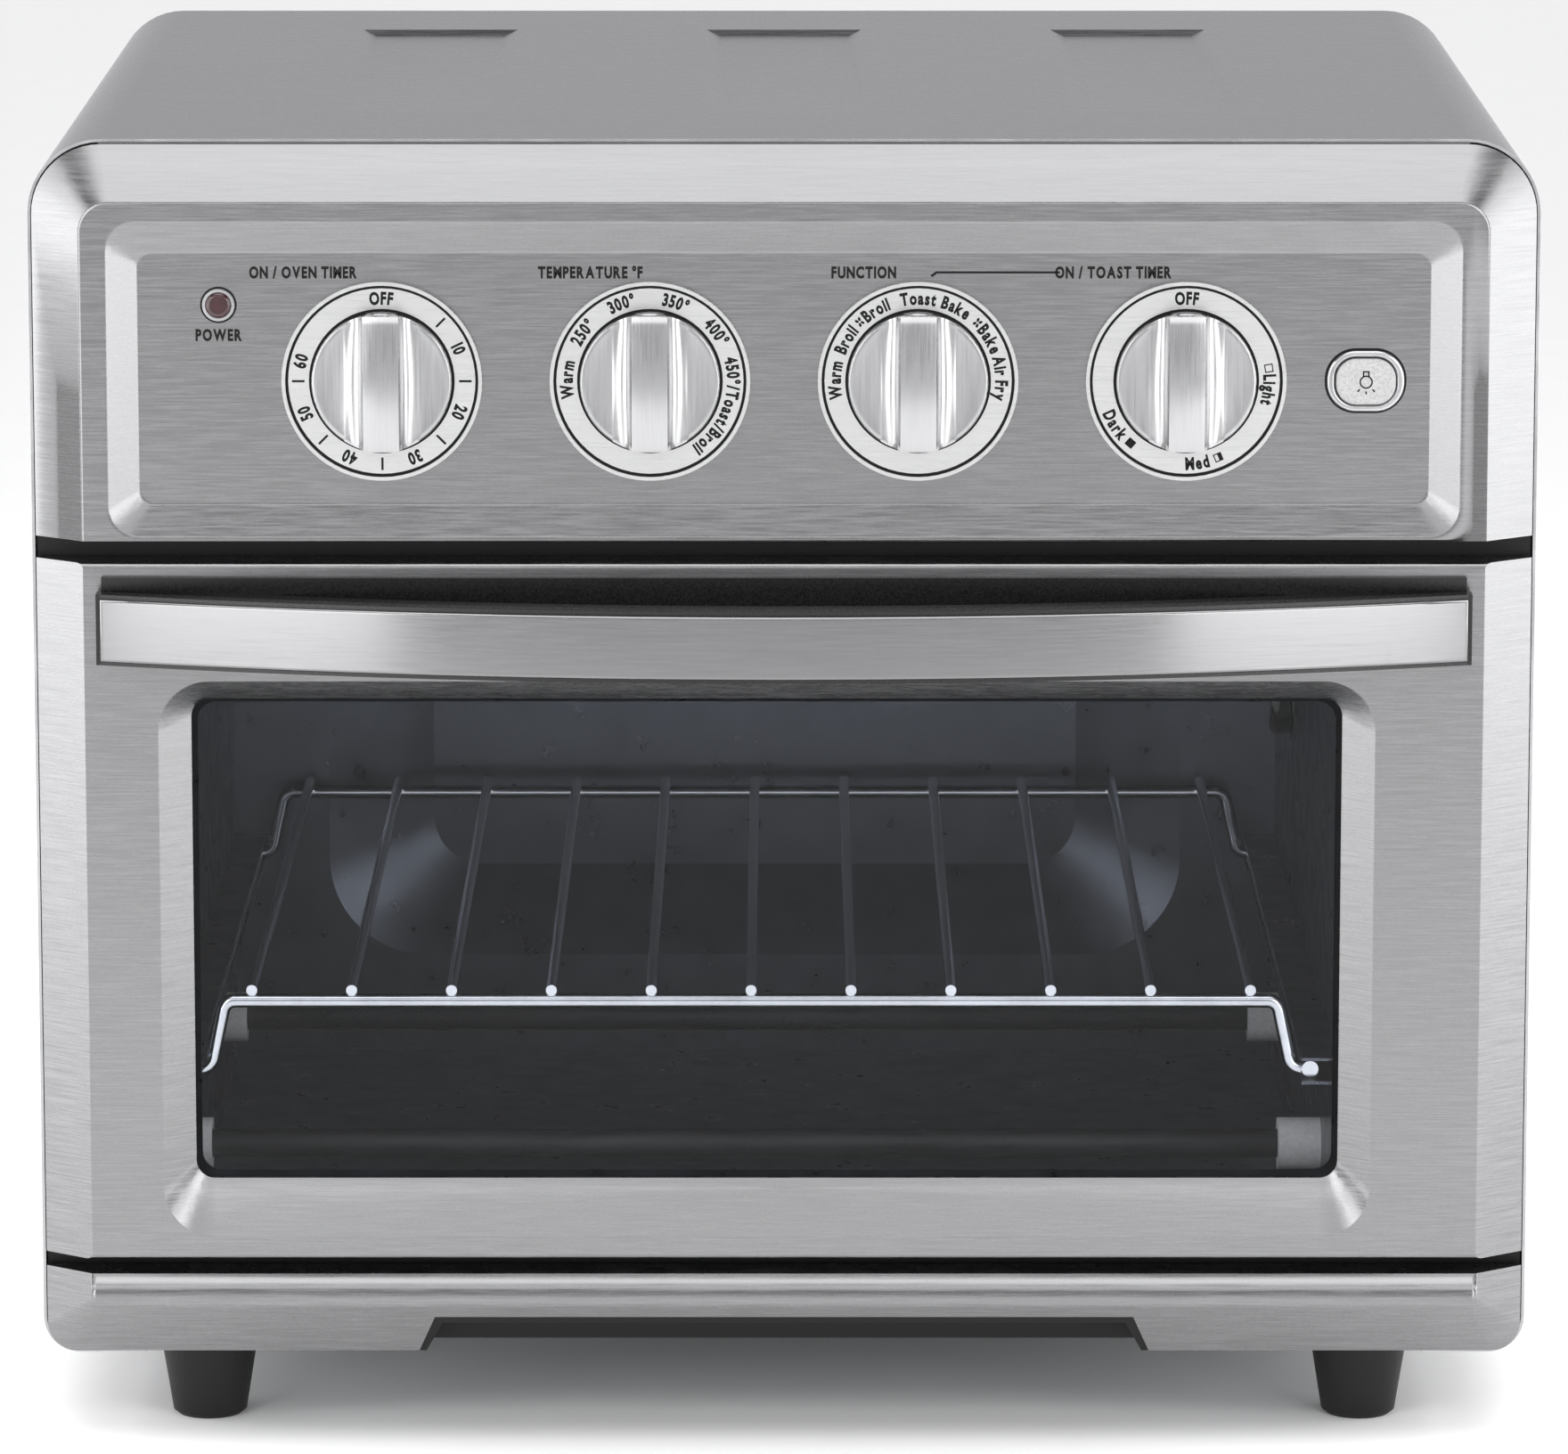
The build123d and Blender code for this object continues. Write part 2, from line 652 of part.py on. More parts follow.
# Plate that carries the controls, behind the fascia
bracket_half = half_width - sheet - sheet_fit
bracket_low = fascia_low + sheet
bracket_high = overall_height - top_corner
shelf_half = front_half - sheet - sheet_fit
bracket_shelf = 20.0
with BuildPart() as control_bracket:
    block((-bracket_half, bracket_half), (bracket_y, unit_y), (bracket_low, bracket_high))
    block((-shelf_half, shelf_half), (frame_back, unit_y + bracket_shelf),
          (bracket_low, bracket_low + plate))
    for dial_x in dial_xs:
        peg(neck_radius + neck_clearance, (bracket_y, unit_y), dial_x, dial_z, mode=Mode.SUBTRACT)
    peg(screw_radius, (bracket_y, unit_y), button_offset, dial_z, mode=Mode.SUBTRACT)
control_bracket.part.label = "control_bracket"
export_step(control_bracket.part, "parts/control_bracket.step")

# ------------------------------------------------------------------ knobs, shafts and the controls they turn
knob_back = dial_face - knob_gap
disc_face = knob_back - knob_disc
grip_face = disc_face - grip_height
shaft_tip = knob_back - shaft_in_knob
neck_tip = panel_y + sheet
shaft_end = unit_y + shaft_in_knob
knob_edge = 0.6


def make_knob(label, x):
    """A round disc with a raised grip bar, bored from behind for its shaft."""
    with BuildPart() as knob:
        with BuildSketch(Plane.XY.offset(dial_z - grip_length / 2)):
            with BuildLine():
                Line((x - grip_base / 2, knob_back), (x - grip_base / 2, disc_face))
                SagittaArc((x - grip_base / 2, disc_face), (x - grip_width / 2, grip_face), grip_sag)
                Line((x - grip_width / 2, grip_face), (x + grip_width / 2, grip_face))
                SagittaArc((x + grip_width / 2, grip_face), (x + grip_base / 2, disc_face), grip_sag)
                Line((x + grip_base / 2, disc_face), (x + grip_base / 2, knob_back))
                Line((x + grip_base / 2, knob_back), (x - grip_base / 2, knob_back))
            make_face()
        extrude(amount=grip_length)
        peg(knob_radius, (grip_face, knob_back), x, dial_z, mode=Mode.INTERSECT)
        peg(knob_radius, (disc_face, knob_back), x, dial_z)
        peg(shaft_radius + running_fit, (shaft_tip, knob_back), x, dial_z, mode=Mode.SUBTRACT)
    knob.part.label = label
    export_step(knob.part, f"parts/{label}.step")


def make_shaft(label, x):
    """A control's spindle, from inside the knob to inside the control."""
    with BuildPart() as shaft:
        peg(shaft_radius, (shaft_tip, shaft_end), x, dial_z)
    shaft.part.label = label
    export_step(shaft.part, f"parts/{label}.step")


def start_control(x):
    """The threaded neck and front bush that every control has, round its spindle."""
    peg(neck_radius, (neck_tip, unit_y), x, dial_z)


def bore_control(x):
    """The spindle's hole in a control."""
    peg(shaft_radius + running_fit, (neck_tip, shaft_end + slide_gap), x, dial_z, mode=Mode.SUBTRACT)


def make_timer(label, x):
    """A clockwork timer: two plates on four posts round its spring barrel, with a bell behind."""
    half = timer_size / 2
    post_place = half - timer_post_inset
    with BuildPart() as timer:
        start_control(x)
        front = (unit_y, unit_y + 2 * shaft_in_knob)
        back = (unit_y + timer_depth - plate, unit_y + timer_depth)
        block((x - half, x + half), front, (dial_z - half, dial_z + half))
        block((x - half, x + half), back, (dial_z - half, dial_z + half))
        for dx in (-1, 1):
            for dz in (-1, 1):
                peg(screw_radius, (front[1], back[0]), x + dx * post_place, dial_z + dz * post_place)
        peg(half - timer_barrel_inset, (front[1], back[0]), x, dial_z)
        peg(half - timer_bell_inset, (back[1], back[1] + timer_bell_depth), x, dial_z)
        bore_control(x)
    timer.part.label = label
    export_step(timer.part, f"parts/{label}.step")


for label, x in zip(("oven_timer", "temperature", "function", "toast_timer"), dial_xs):
    make_knob(f"{label}_knob", x)
    make_shaft(f"{label}_shaft", x)

make_timer("oven_timer", dial_xs[0])
make_timer("toast_timer", dial_xs[3])

thermostat_half = thermostat_size / 2
with BuildPart() as temperature_control:
    start_control(dial_xs[1])
    block(
        (dial_xs[1] - thermostat_half, dial_xs[1] + thermostat_half),
        (unit_y, unit_y + switch_depth), (dial_z - thermostat_half, dial_z + thermostat_half),
    )
    peg(capsule_radius, (unit_y + switch_depth, unit_y + switch_depth + capsule_depth), dial_xs[1], dial_z)
    bore_control(dial_xs[1])
temperature_control.part.label = "temperature_control"
export_step(temperature_control.part, "parts/temperature_control.step")

with BuildPart() as function_switch:
    start_control(dial_xs[2])
    peg(wafer_hub_radius, (unit_y, unit_y + 2 * wafer_count * wafer), dial_xs[2], dial_z)
    for layer in range(wafer_count):
        layer_y = unit_y + (2 * layer + 1) * wafer
        peg(wafer_radius, (layer_y, layer_y + wafer), dial_xs[2], dial_z)
    bore_control(dial_xs[2])
function_switch.part.label = "function_switch"
export_step(function_switch.part, "parts/function_switch.step")

light_switch_half = light_switch_size / 2
with BuildPart() as light_switch:
    block(
        (button_offset - light_switch_half, button_offset + light_switch_half),
        (unit_y, unit_y + switch_depth), (dial_z - light_switch_half, dial_z + light_switch_half),
    )
    peg(screw_radius - running_fit, (bracket_y, unit_y), button_offset, dial_z)
light_switch.part.label = "light_switch"
export_step(light_switch.part, "parts/light_switch.step")

# ------------------------------------------------------------------ oven cavity
frame_x = widened(inner_x, -tuck_gap)
frame_high = fascia_low + skirt
slot_z = (strip_low, pan_floor + pan_height + 2 * slide_gap)
stay_slot_z = (
    hinge_z + math.sqrt((stay_radius - stay_width / 2) ** 2 - (frame_back - hinge_y) ** 2) - 2 * slide_gap,
    hinge_z + math.sqrt((stay_radius + stay_width / 2) ** 2 - (frame_y - hinge_y) ** 2) + 2 * slide_gap,
)
with BuildPart() as front_frame:
    slab((frame_y, frame_back), frame_x, (casing_low + sheet + tuck_gap, frame_high),
         low_corner - sheet - tuck_gap, 0)
    block(cavity_x, (frame_y, frame_back), (cavity_sill, cavity_ceiling), mode=Mode.SUBTRACT)
    block(cavity_x, (frame_y, frame_back), (casing_low, slot_z[1]), mode=Mode.SUBTRACT)
    for side in (-1, 1):
        ear_x = side * hinge_offset
        block(widened((ear_x, ear_x), ear_thickness / 2 + sheet_fit), (frame_y, frame_back),
              widened((hinge_z, hinge_z), ear_radius + sheet_fit), mode=Mode.SUBTRACT)
        stay_x = side * stay_offset
        block(widened((stay_x, stay_x), stay_thickness / 2 + slide_gap), (frame_y, frame_back),
              stay_slot_z, mode=Mode.SUBTRACT)
front_frame.part.label = "front_frame"
export_step(front_frame.part, "parts/front_frame.step")

lower_heater_z = cavity_sill + lower_heater_rise
heater_places = [(casing_front + lower_heater_front, lower_heater_z),
                 (cavity_back_y - lower_heater_rear, lower_heater_z)]
upper_heater_z = cavity_ceiling - upper_heater_drop
upper_places = [(casing_front + y, upper_heater_z) for y in upper_heater_front]
upper_places += [(cavity_back_y - y, upper_heater_z) for y in upper_heater_rear]
cap_neck_radius = heater_radius + cap_neck_wall
lamp_hole = oven_lamp_radius - lamp_lap
wall_left = (cavity_low_x - sheet, cavity_low_x)
wall_right = (cavity_high_x, cavity_high_x + sheet)
with BuildPart() as cavity_shell:
    shell_y = (frame_back, cavity_back_y)
    block((wall_left[0], wall_right[1]), shell_y, (cavity_ceiling, cavity_ceiling + sheet))
    for wall in (wall_left, wall_right):
        block(wall, shell_y, (ledge_top - sheet, cavity_ceiling))
    for ledge in ((cavity_low_x, cavity_low_x + pan_lip), (cavity_high_x - pan_lip, cavity_high_x)):
        block(ledge, shell_y, (ledge_top - sheet, ledge_top))
    for y, z in heater_places + upper_places:
        bar_across(cap_neck_radius + cap_fit, wall_left, y, z, mode=Mode.SUBTRACT)
        bar_across(cap_neck_radius + cap_fit, wall_right, y, z, mode=Mode.SUBTRACT)
    bar_across(lamp_hole, wall_right, oven_lamp_y, oven_lamp_z, mode=Mode.SUBTRACT)
    post(fan_hub_radius, (cavity_ceiling, cavity_ceiling + sheet), cavity_middle, fan_centre_y,
         mode=Mode.SUBTRACT)
cavity_shell.part.label = "cavity_shell"
export_step(cavity_shell.part, "parts/cavity_shell.step")

with BuildPart() as cavity_back:
    bulge_floor_x = widened(bulge_x, -bulge_slope_x)
    bulge_floor_z = widened(bulge_z, -bulge_slope_z)
    block((wall_left[0], wall_right[1]), (cavity_back_y, cavity_back_y + sheet),
          (ledge_top - sheet, cavity_ceiling + sheet))
    funnel(
        (cavity_back_y + bulge_depth + sheet, bulge_floor_x, bulge_floor_z, bulge_corner / 2,
         bulge_corner / 2),
        (cavity_back_y, widened(bulge_x, sheet), widened(bulge_z, sheet), bulge_corner, bulge_corner),
    )
    funnel(
        (cavity_back_y + bulge_depth, widened(bulge_floor_x, -sheet), widened(bulge_floor_z, -sheet),
         bulge_corner / 2, bulge_corner / 2),
        (cavity_back_y, bulge_x, bulge_z, bulge_corner, bulge_corner),
        mode=Mode.SUBTRACT,
    )
cavity_back.part.label = "cavity_back"
export_step(cavity_back.part, "parts/cavity_back.step")

rod_x = (cavity_low_x + rack_margin, cavity_high_x - rack_margin)
guide_low = rack_low - rod_radius - slide_gap
guide_high = rack_low + rod_radius + guide_head
with BuildPart() as rack_guides:
    guide_y = (frame_back, cavity_back_y)
    for wall, inward in ((cavity_low_x, 1), (cavity_high_x, -1)):
        web = sorted((wall, wall + inward * sheet))
        flange = sorted((wall, wall + inward * guide_flange))
        block(web, guide_y, (guide_low - sheet, guide_high + sheet))
        block(flange, guide_y, (guide_low - sheet, guide_low))
        block(flange, guide_y, (guide_high, guide_high + sheet))
rack_guides.part.label = "rack_guides"
export_step(rack_guides.part, "parts/rack_guides.step")

tube_x = (cavity_low_x - cap_outside / 2, cavity_high_x + cap_outside / 2)
with BuildPart() as lower_heaters:
    for y, z in heater_places:
        bar_across(heater_radius, tube_x, y, z)
lower_heaters.part.label = "lower_heaters"
export_step(lower_heaters.part, "parts/lower_heaters.step")

with BuildPart() as upper_heaters:
    for y, z in upper_places:
        bar_across(heater_radius, tube_x, y, z)
upper_heaters.part.label = "upper_heaters"
export_step(upper_heaters.part, "parts/upper_heaters.step")

with BuildPart() as heater_end_caps:
    for y, z in heater_places + upper_places:
        bar_across(heater_cap_radius, (cavity_low_x, cavity_low_x + left_cap), y, z)
        bar_across(cap_neck_radius, (cavity_low_x - cap_outside, cavity_low_x), y, z)
        bar_across(heater_cap_radius, (cavity_high_x - right_cap, cavity_high_x), y, z)
        bar_across(cap_neck_radius, (cavity_high_x, cavity_high_x + cap_outside), y, z)
        bar_across(heater_radius + heater_fit, tube_x, y, z, mode=Mode.SUBTRACT)
heater_end_caps.part.label = "heater_end_caps"
export_step(heater_end_caps.part, "parts/heater_end_caps.step")

# ------------------------------------------------------------------ fan
guard_z = (cavity_ceiling - guard_depth, cavity_ceiling)
with BuildPart() as fan_guard:
    post(guard_radius, guard_z, cavity_middle, fan_centre_y)
    post(guard_radius - sheet, (guard_z[0] + sheet, guard_z[1]), cavity_middle, fan_centre_y,
         mode=Mode.SUBTRACT)
    with BuildSketch(Plane.XY.offset(guard_z[0])):
        for ring_radius, holes in guard_rings:
            with Locations((cavity_middle, fan_centre_y)):
                with PolarLocations(ring_radius, holes):
                    Circle(guard_hole)
    extrude(amount=sheet, mode=Mode.SUBTRACT)
fan_guard.part.label = "fan_guard"
export_step(fan_guard.part, "parts/fan_guard.step")

motor_low = cavity_ceiling + sheet + motor_lift
motor_half = motor_width / 2
bridge_half = motor_half + bridge_reach
with BuildPart() as motor_bracket:
    block((cavity_middle - bridge_half, cavity_middle + bridge_half),
          (fan_centre_y - motor_half / 2, fan_centre_y + motor_half / 2),
          (motor_low - plate, motor_low))
    for side in (-1, 1):
        leg = sorted((cavity_middle + side * bridge_half, cavity_middle + side * (bridge_half + plate)))
        foot = sorted((cavity_middle + side * bridge_half, cavity_middle + side * (bridge_half + bridge_foot)))
        leg_y = (fan_centre_y - motor_half / 2, fan_centre_y + motor_half / 2)
        block(leg, leg_y, (cavity_ceiling + sheet, motor_low))
        block(foot, leg_y, (cavity_ceiling + sheet, cavity_ceiling + sheet + plate))
    post(fan_hub_radius, (motor_low - plate, motor_low), cavity_middle, fan_centre_y,
         mode=Mode.SUBTRACT)
motor_bracket.part.label = "motor_bracket"
export_step(motor_bracket.part, "parts/motor_bracket.step")

with BuildPart() as fan_motor:
    block((cavity_middle - motor_half, cavity_middle + motor_half),
          (fan_centre_y - motor_half, fan_centre_y + motor_half),
          (motor_low, motor_low + motor_height / 2))
    chamfer(fan_motor.edges().filter_by(Axis.Z), motor_half / 4)
    post(motor_can_radius, (motor_low + motor_height / 2, motor_low + motor_height), cavity_middle,
         fan_centre_y)
    post(fan_shaft_radius + running_fit, (motor_low, motor_low + motor_height - plate), cavity_middle,
         fan_centre_y, mode=Mode.SUBTRACT)
fan_motor.part.label = "fan_motor"
export_step(fan_motor.part, "parts/fan_motor.step")

fan_z = (cavity_ceiling - fan_drop - fan_blade_height, cavity_ceiling - fan_drop)
with BuildPart() as fan_impeller:
    post(fan_hub_radius - fan_hub_clearance, fan_z, cavity_middle, fan_centre_y)
    post(fan_radius, (fan_z[1] - sheet, fan_z[1]), cavity_middle, fan_centre_y)
    with Locations((cavity_middle, fan_centre_y, sum(fan_z) / 2)):
        with PolarLocations(blade_middle, blade_count):
            Box(blade_length, sheet, fan_blade_height, rotation=(0, 0, blade_angle))
    post(fan_shaft_radius + running_fit, fan_z, cavity_middle, fan_centre_y, mode=Mode.SUBTRACT)
fan_impeller.part.label = "fan_impeller"
export_step(fan_impeller.part, "parts/fan_impeller.step")

with BuildPart() as fan_shaft:
    post(fan_shaft_radius, (fan_z[0], motor_low + motor_height - 2 * plate), cavity_middle, fan_centre_y)
fan_shaft.part.label = "fan_shaft"
export_step(fan_shaft.part, "parts/fan_shaft.step")

# ------------------------------------------------------------------ oven lamp and thermostat probe
with BuildPart() as lamp_cover:
    bar_across(oven_lamp_radius, (cavity_high_x - oven_lamp_reach, cavity_high_x), oven_lamp_y, oven_lamp_z)
    fillet(lamp_cover.edges().filter_by(GeomType.CIRCLE).group_by(Axis.X)[0], oven_lamp_reach / 2)
    bar_across(lamp_hole - lamp_wall, (cavity_high_x - oven_lamp_reach + lamp_wall, cavity_high_x), oven_lamp_y,
               oven_lamp_z, mode=Mode.SUBTRACT)
lamp_cover.part.label = "lamp_cover"
export_step(lamp_cover.part, "parts/lamp_cover.step")

socket_x = (cavity_high_x + sheet, cavity_high_x + sheet + socket_length)
with BuildPart() as lamp_socket:
    bar_across(lamp_hole + socket_wall, (socket_x[0], socket_x[0] + plate), oven_lamp_y, oven_lamp_z)
    bar_across(bulb_radius + socket_wall, (socket_x[0] + plate, socket_x[1]), oven_lamp_y, oven_lamp_z)
    bar_across(bulb_radius + slide_gap, (socket_x[0], socket_x[1] - socket_floor), oven_lamp_y, oven_lamp_z,
               mode=Mode.SUBTRACT)
lamp_socket.part.label = "lamp_socket"
export_step(lamp_socket.part, "parts/lamp_socket.step")

bulb_x = (cavity_high_x - oven_lamp_reach + 2 * lamp_wall, socket_x[1] - socket_floor)
with BuildPart() as lamp_bulb:
    bar_across(bulb_radius, bulb_x, oven_lamp_y, oven_lamp_z)
    fillet(lamp_bulb.edges().filter_by(GeomType.CIRCLE).group_by(Axis.X)[0], bulb_radius / 2)
lamp_bulb.part.label = "lamp_bulb"
export_step(lamp_bulb.part, "parts/lamp_bulb.step")

probe_y = (cavity_back_y - probe_inset - probe_length, cavity_back_y - probe_inset)
probe_z = cavity_ceiling - probe_drop
probe_x = cavity_high_x - probe_reach
with BuildPart() as thermostat_probe:
    peg(probe_radius, probe_y, probe_x, probe_z)
    for clip_y in widened(probe_y, -4 * clip_width):
        block((probe_x, cavity_high_x), widened((clip_y, clip_y), clip_width / 2), (probe_z - sheet, probe_z))
thermostat_probe.part.label = "thermostat_probe"
export_step(thermostat_probe.part, "parts/thermostat_probe.step")

terminal_y = (casing_rear - terminal_inset - terminal_length, casing_rear - terminal_inset)
terminal_x = (half_width - sheet - sheet_fit - terminal_width, half_width - sheet - sheet_fit)
terminal_z = (gland_rise + terminal_lift, gland_rise + terminal_lift + terminal_height)
with BuildPart() as terminal_block:
    block(terminal_x, terminal_y, terminal_z)
    for place in (-1, 0, 1):
        post(screw_radius, (terminal_z[1], terminal_z[1] + plate), sum(terminal_x) / 2,
             sum(terminal_y) / 2 + terminal_pitch * place)
terminal_block.part.label = "terminal_block"
export_step(terminal_block.part, "parts/terminal_block.step")

# ------------------------------------------------------------------ door hinges, on the casing
with BuildPart() as door_hinge_brackets:
    for side in (-1, 1):
        ear_x = side * hinge_offset
        ear = widened((ear_x, ear_x), ear_thickness / 2)
        block(widened((ear_x, ear_x), 4 * ear_thickness), (frame_back, frame_back + plate),
              widened((hinge_z, hinge_z), 3 * ear_radius))
        block(ear, (hinge_y, frame_back), widened((hinge_z, hinge_z), ear_radius))
        bar_across(ear_radius, ear, hinge_y, hinge_z)
        bar_across(pin_radius, ear, hinge_y, hinge_z, mode=Mode.SUBTRACT)
door_hinge_brackets.part.label = "door_hinge_brackets"
export_step(door_hinge_brackets.part, "parts/door_hinge_brackets.step")

with BuildPart() as door_hinge_pins:
    for side in (-1, 1):
        middle = side * hinge_offset
        bar_across(pin_radius, (middle - pin_length / 2, middle + pin_length / 2), hinge_y, hinge_z)
door_hinge_pins.part.label = "door_hinge_pins"
export_step(door_hinge_pins.part, "parts/door_hinge_pins.step")

# ------------------------------------------------------------------ door
door_back = retainer_back - slide_gap
ear_notch_y = (hinge_y - ear_radius - ear_gap, casing_front)
ear_notch_z = (door_low, hinge_z + ear_radius + ear_gap)
with BuildPart() as door_panel:
    with BuildSketch(Plane.XY.offset(door_low)):
        Polygon(
            (-front_half, door_back), (-front_half, rim_y), (-ridge_half, ridge_y),
            (ridge_half, ridge_y), (front_half, rim_y), (front_half, door_back), align=None,
        )
    extrude(amount=door_height)
    ridge_edges = door_panel.edges().filter_by(Axis.X).filter_by_position(
        Axis.Y, ridge_y - door_edge, ridge_y + door_edge)
    fillet(ridge_edges, door_edge)
    with BuildSketch(Plane.XY.offset(door_low + sheet)):
        Polygon(
            (-front_half + sheet, door_back), (-front_half + sheet, rim_y - sheet / 2),
            (-ridge_half + sheet / 2, ridge_y + sheet), (ridge_half - sheet / 2, ridge_y + sheet),
            (front_half - sheet, rim_y - sheet / 2), (front_half - sheet, door_back), align=None,
        )
    extrude(amount=door_height - 2 * sheet, mode=Mode.SUBTRACT)
    bevel_x = widened(window_x, bevel_side)
    bevel_z = (window_z[0] - bevel_bottom, window_z[1] + bevel_top)
    funnel(
        (glass_y, widened(window_x, seat_lap), widened(window_z, seat_lap), window_corner,
         window_corner),
        (ridge_y + sheet / 2, widened(bevel_x, sheet / 2), widened(bevel_z, sheet / 2), bevel_corner,
         bevel_corner),
    )
    funnel(
        (seat_y, window_x, window_z, window_corner, window_corner),
        (ridge_y, bevel_x, bevel_z, bevel_corner, bevel_corner),
        mode=Mode.SUBTRACT,
    )
    slab((seat_y, glass_y), window_x, window_z, window_corner, window_corner, mode=Mode.SUBTRACT)
    for side in (-1, 1):
        ear_x = side * hinge_offset
        block(widened((ear_x, ear_x), ear_thickness / 2 + ear_gap), ear_notch_y, ear_notch_z,
              mode=Mode.SUBTRACT)
        screw_x = side * (bar_land + handle_half) / 2
        peg(screw_radius + running_fit, (ridge_y, ridge_y + sheet), screw_x,
            (band_low + band_high) / 2, mode=Mode.SUBTRACT)
door_panel.part.label = "door_panel"
export_step(door_panel.part, "parts/door_panel.step")

with BuildPart() as door_glass:
    slab((glass_y, retainer_y), widened(window_x, glass_lap), widened(window_z, glass_lap),
         window_corner, window_corner)
door_glass.part.label = "door_glass"
export_step(door_glass.part, "parts/door_glass.step")

with BuildPart() as glass_retainer:
    slab((retainer_y, retainer_back), widened(front_x, -sheet - sheet_fit),
         (door_low + sheet + sheet_fit, door_high - sheet - sheet_fit))
    slab((retainer_y, retainer_back), widened(window_x, -retainer_lap),
         widened(window_z, -retainer_lap), window_corner, window_corner, mode=Mode.SUBTRACT)
    for side in (-1, 1):
        ear_x = side * hinge_offset
        block(widened((ear_x, ear_x), ear_thickness / 2 + ear_gap), (retainer_y, retainer_back),
              ear_notch_z, mode=Mode.SUBTRACT)
        stay_x = side * stay_offset
        block(widened((stay_x, stay_x), stay_thickness / 2 + sheet_fit), (retainer_y, retainer_back),
              widened(stay_slot_z, sheet), mode=Mode.SUBTRACT)
glass_retainer.part.label = "glass_retainer"
export_step(glass_retainer.part, "parts/glass_retainer.step")

with BuildPart() as hinge_blocks:
    for side in (-1, 1):
        for face in (-1, 1):
            near = side * hinge_offset + face * (ear_thickness / 2 + ear_gap)
            x = sorted((near, near + face * block_width))
            block(x, (ridge_y + sheet, retainer_y), (door_low + sheet, door_low + sheet + block_height))
            bar_across(pin_radius + running_fit, x, hinge_y, hinge_z, mode=Mode.SUBTRACT)
hinge_blocks.part.label = "hinge_blocks"
export_step(hinge_blocks.part, "parts/hinge_blocks.step")


def on_stay(radius, degrees):
    """A point of the stay's arc, as (Y, Z), at an angle above the line behind the hinge axis."""
    turn = math.radians(degrees)
    return (hinge_y + radius * math.cos(turn), hinge_z + radius * math.sin(turn))


stay_inner = stay_radius - stay_width / 2
stay_outer = stay_radius + stay_width / 2
stay_flange = 6.0
with BuildPart() as door_stay_arms:
    for side in (-1, 1):
        middle = side * stay_offset
        stay_middle = (stay_head + stay_tail) / 2
        with BuildSketch(Plane.YZ.offset(middle - stay_thickness / 2)):
            with BuildLine():
                ThreePointArc(on_stay(stay_inner, stay_tail), on_stay(stay_inner, stay_middle),
                              on_stay(stay_inner, stay_head))
                Line(on_stay(stay_inner, stay_head), on_stay(stay_outer, stay_head))
                ThreePointArc(on_stay(stay_outer, stay_head), on_stay(stay_outer, stay_middle),
                              on_stay(stay_outer, stay_tail))
                Line(on_stay(stay_outer, stay_tail), on_stay(stay_inner, stay_tail))
            make_face()
        extrude(amount=stay_thickness)
        block(widened((middle, middle), stay_thickness / 2), (retainer_y - plate, retainer_back),
              stay_slot_z)
        block(widened((middle, middle), stay_flange), (retainer_y - plate, retainer_y),
              widened(stay_slot_z, 2 * plate))
door_stay_arms.part.label = "door_stay_arms"
export_step(door_stay_arms.part, "parts/door_stay_arms.step")

# ------------------------------------------------------------------ door handle
bar_rear_y = handle_y + bar_middle
bar_mount_y = ridge_y - back_plate
band_end_y = bar_mount_y - band_end_gap - band_depth
channel_z = widened((band_low, band_high), -band_thickness)


def handle_arc(setback):
    """The handle's front arc, moved back by a distance."""
    return ThreePointArc((-handle_half, band_end_y + setback), (0, handle_y + setback),
                         (handle_half, band_end_y + setback))


def crescent(front_setback, rear_setback):
    """The strip between two copies of the front arc."""
    with BuildLine() as edge:
        handle_arc(front_setback)
        Line((handle_half, band_end_y + front_setback), (handle_half, band_end_y + rear_setback))
        handle_arc(rear_setback)
        Line((-handle_half, band_end_y + rear_setback), (-handle_half, band_end_y + front_setback))
    make_face(edge.edges())


with BuildPart() as handle_band:
    with BuildSketch(Plane.XY.offset(band_low)):
        crescent(0, band_depth)
    extrude(amount=band_height)
    with BuildSketch(Plane.XY.offset(channel_z[0])):
        crescent(band_thickness, band_depth)
    extrude(amount=channel_z[1] - channel_z[0], mode=Mode.SUBTRACT)
handle_band.part.label = "handle_band"
export_step(handle_band.part, "parts/handle_band.step")

with BuildPart() as handle_bar:
    with BuildSketch(Plane.XY.offset(channel_z[0])):
        crescent(band_thickness, band_depth)
    extrude(amount=channel_z[1] - channel_z[0])
    with BuildSketch(Plane.XY.offset(band_low)):
        with BuildLine():
            handle_arc(band_depth)
            Line((handle_half, band_end_y + band_depth), (handle_half, bar_mount_y))
            Line((handle_half, bar_mount_y), (bar_land, bar_mount_y))
            ThreePointArc((bar_land, bar_mount_y), (0, bar_rear_y), (-bar_land, bar_mount_y))
            Line((-bar_land, bar_mount_y), (-handle_half, bar_mount_y))
            Line((-handle_half, bar_mount_y), (-handle_half, band_end_y + band_depth))
        make_face()
    extrude(amount=band_height)
    for side in (-1, 1):
        screw_x = side * (bar_land + handle_half) / 2
        peg(screw_radius, (band_end_y + band_depth, bar_mount_y), screw_x, (band_low + band_high) / 2,
            mode=Mode.SUBTRACT)
handle_bar.part.label = "handle_bar"
export_step(handle_bar.part, "parts/handle_bar.step")

with BuildPart() as handle_back_plate:
    slab((bar_mount_y, ridge_y), (-handle_half, handle_half),
         (band_low - back_plate_fall, band_high + back_plate_rise))
    for side in (-1, 1):
        screw_x = side * (bar_land + handle_half) / 2
        peg(screw_radius + running_fit, (bar_mount_y, ridge_y), screw_x, (band_low + band_high) / 2,
            mode=Mode.SUBTRACT)
handle_back_plate.part.label = "handle_back_plate"
export_step(handle_back_plate.part, "parts/handle_back_plate.step")

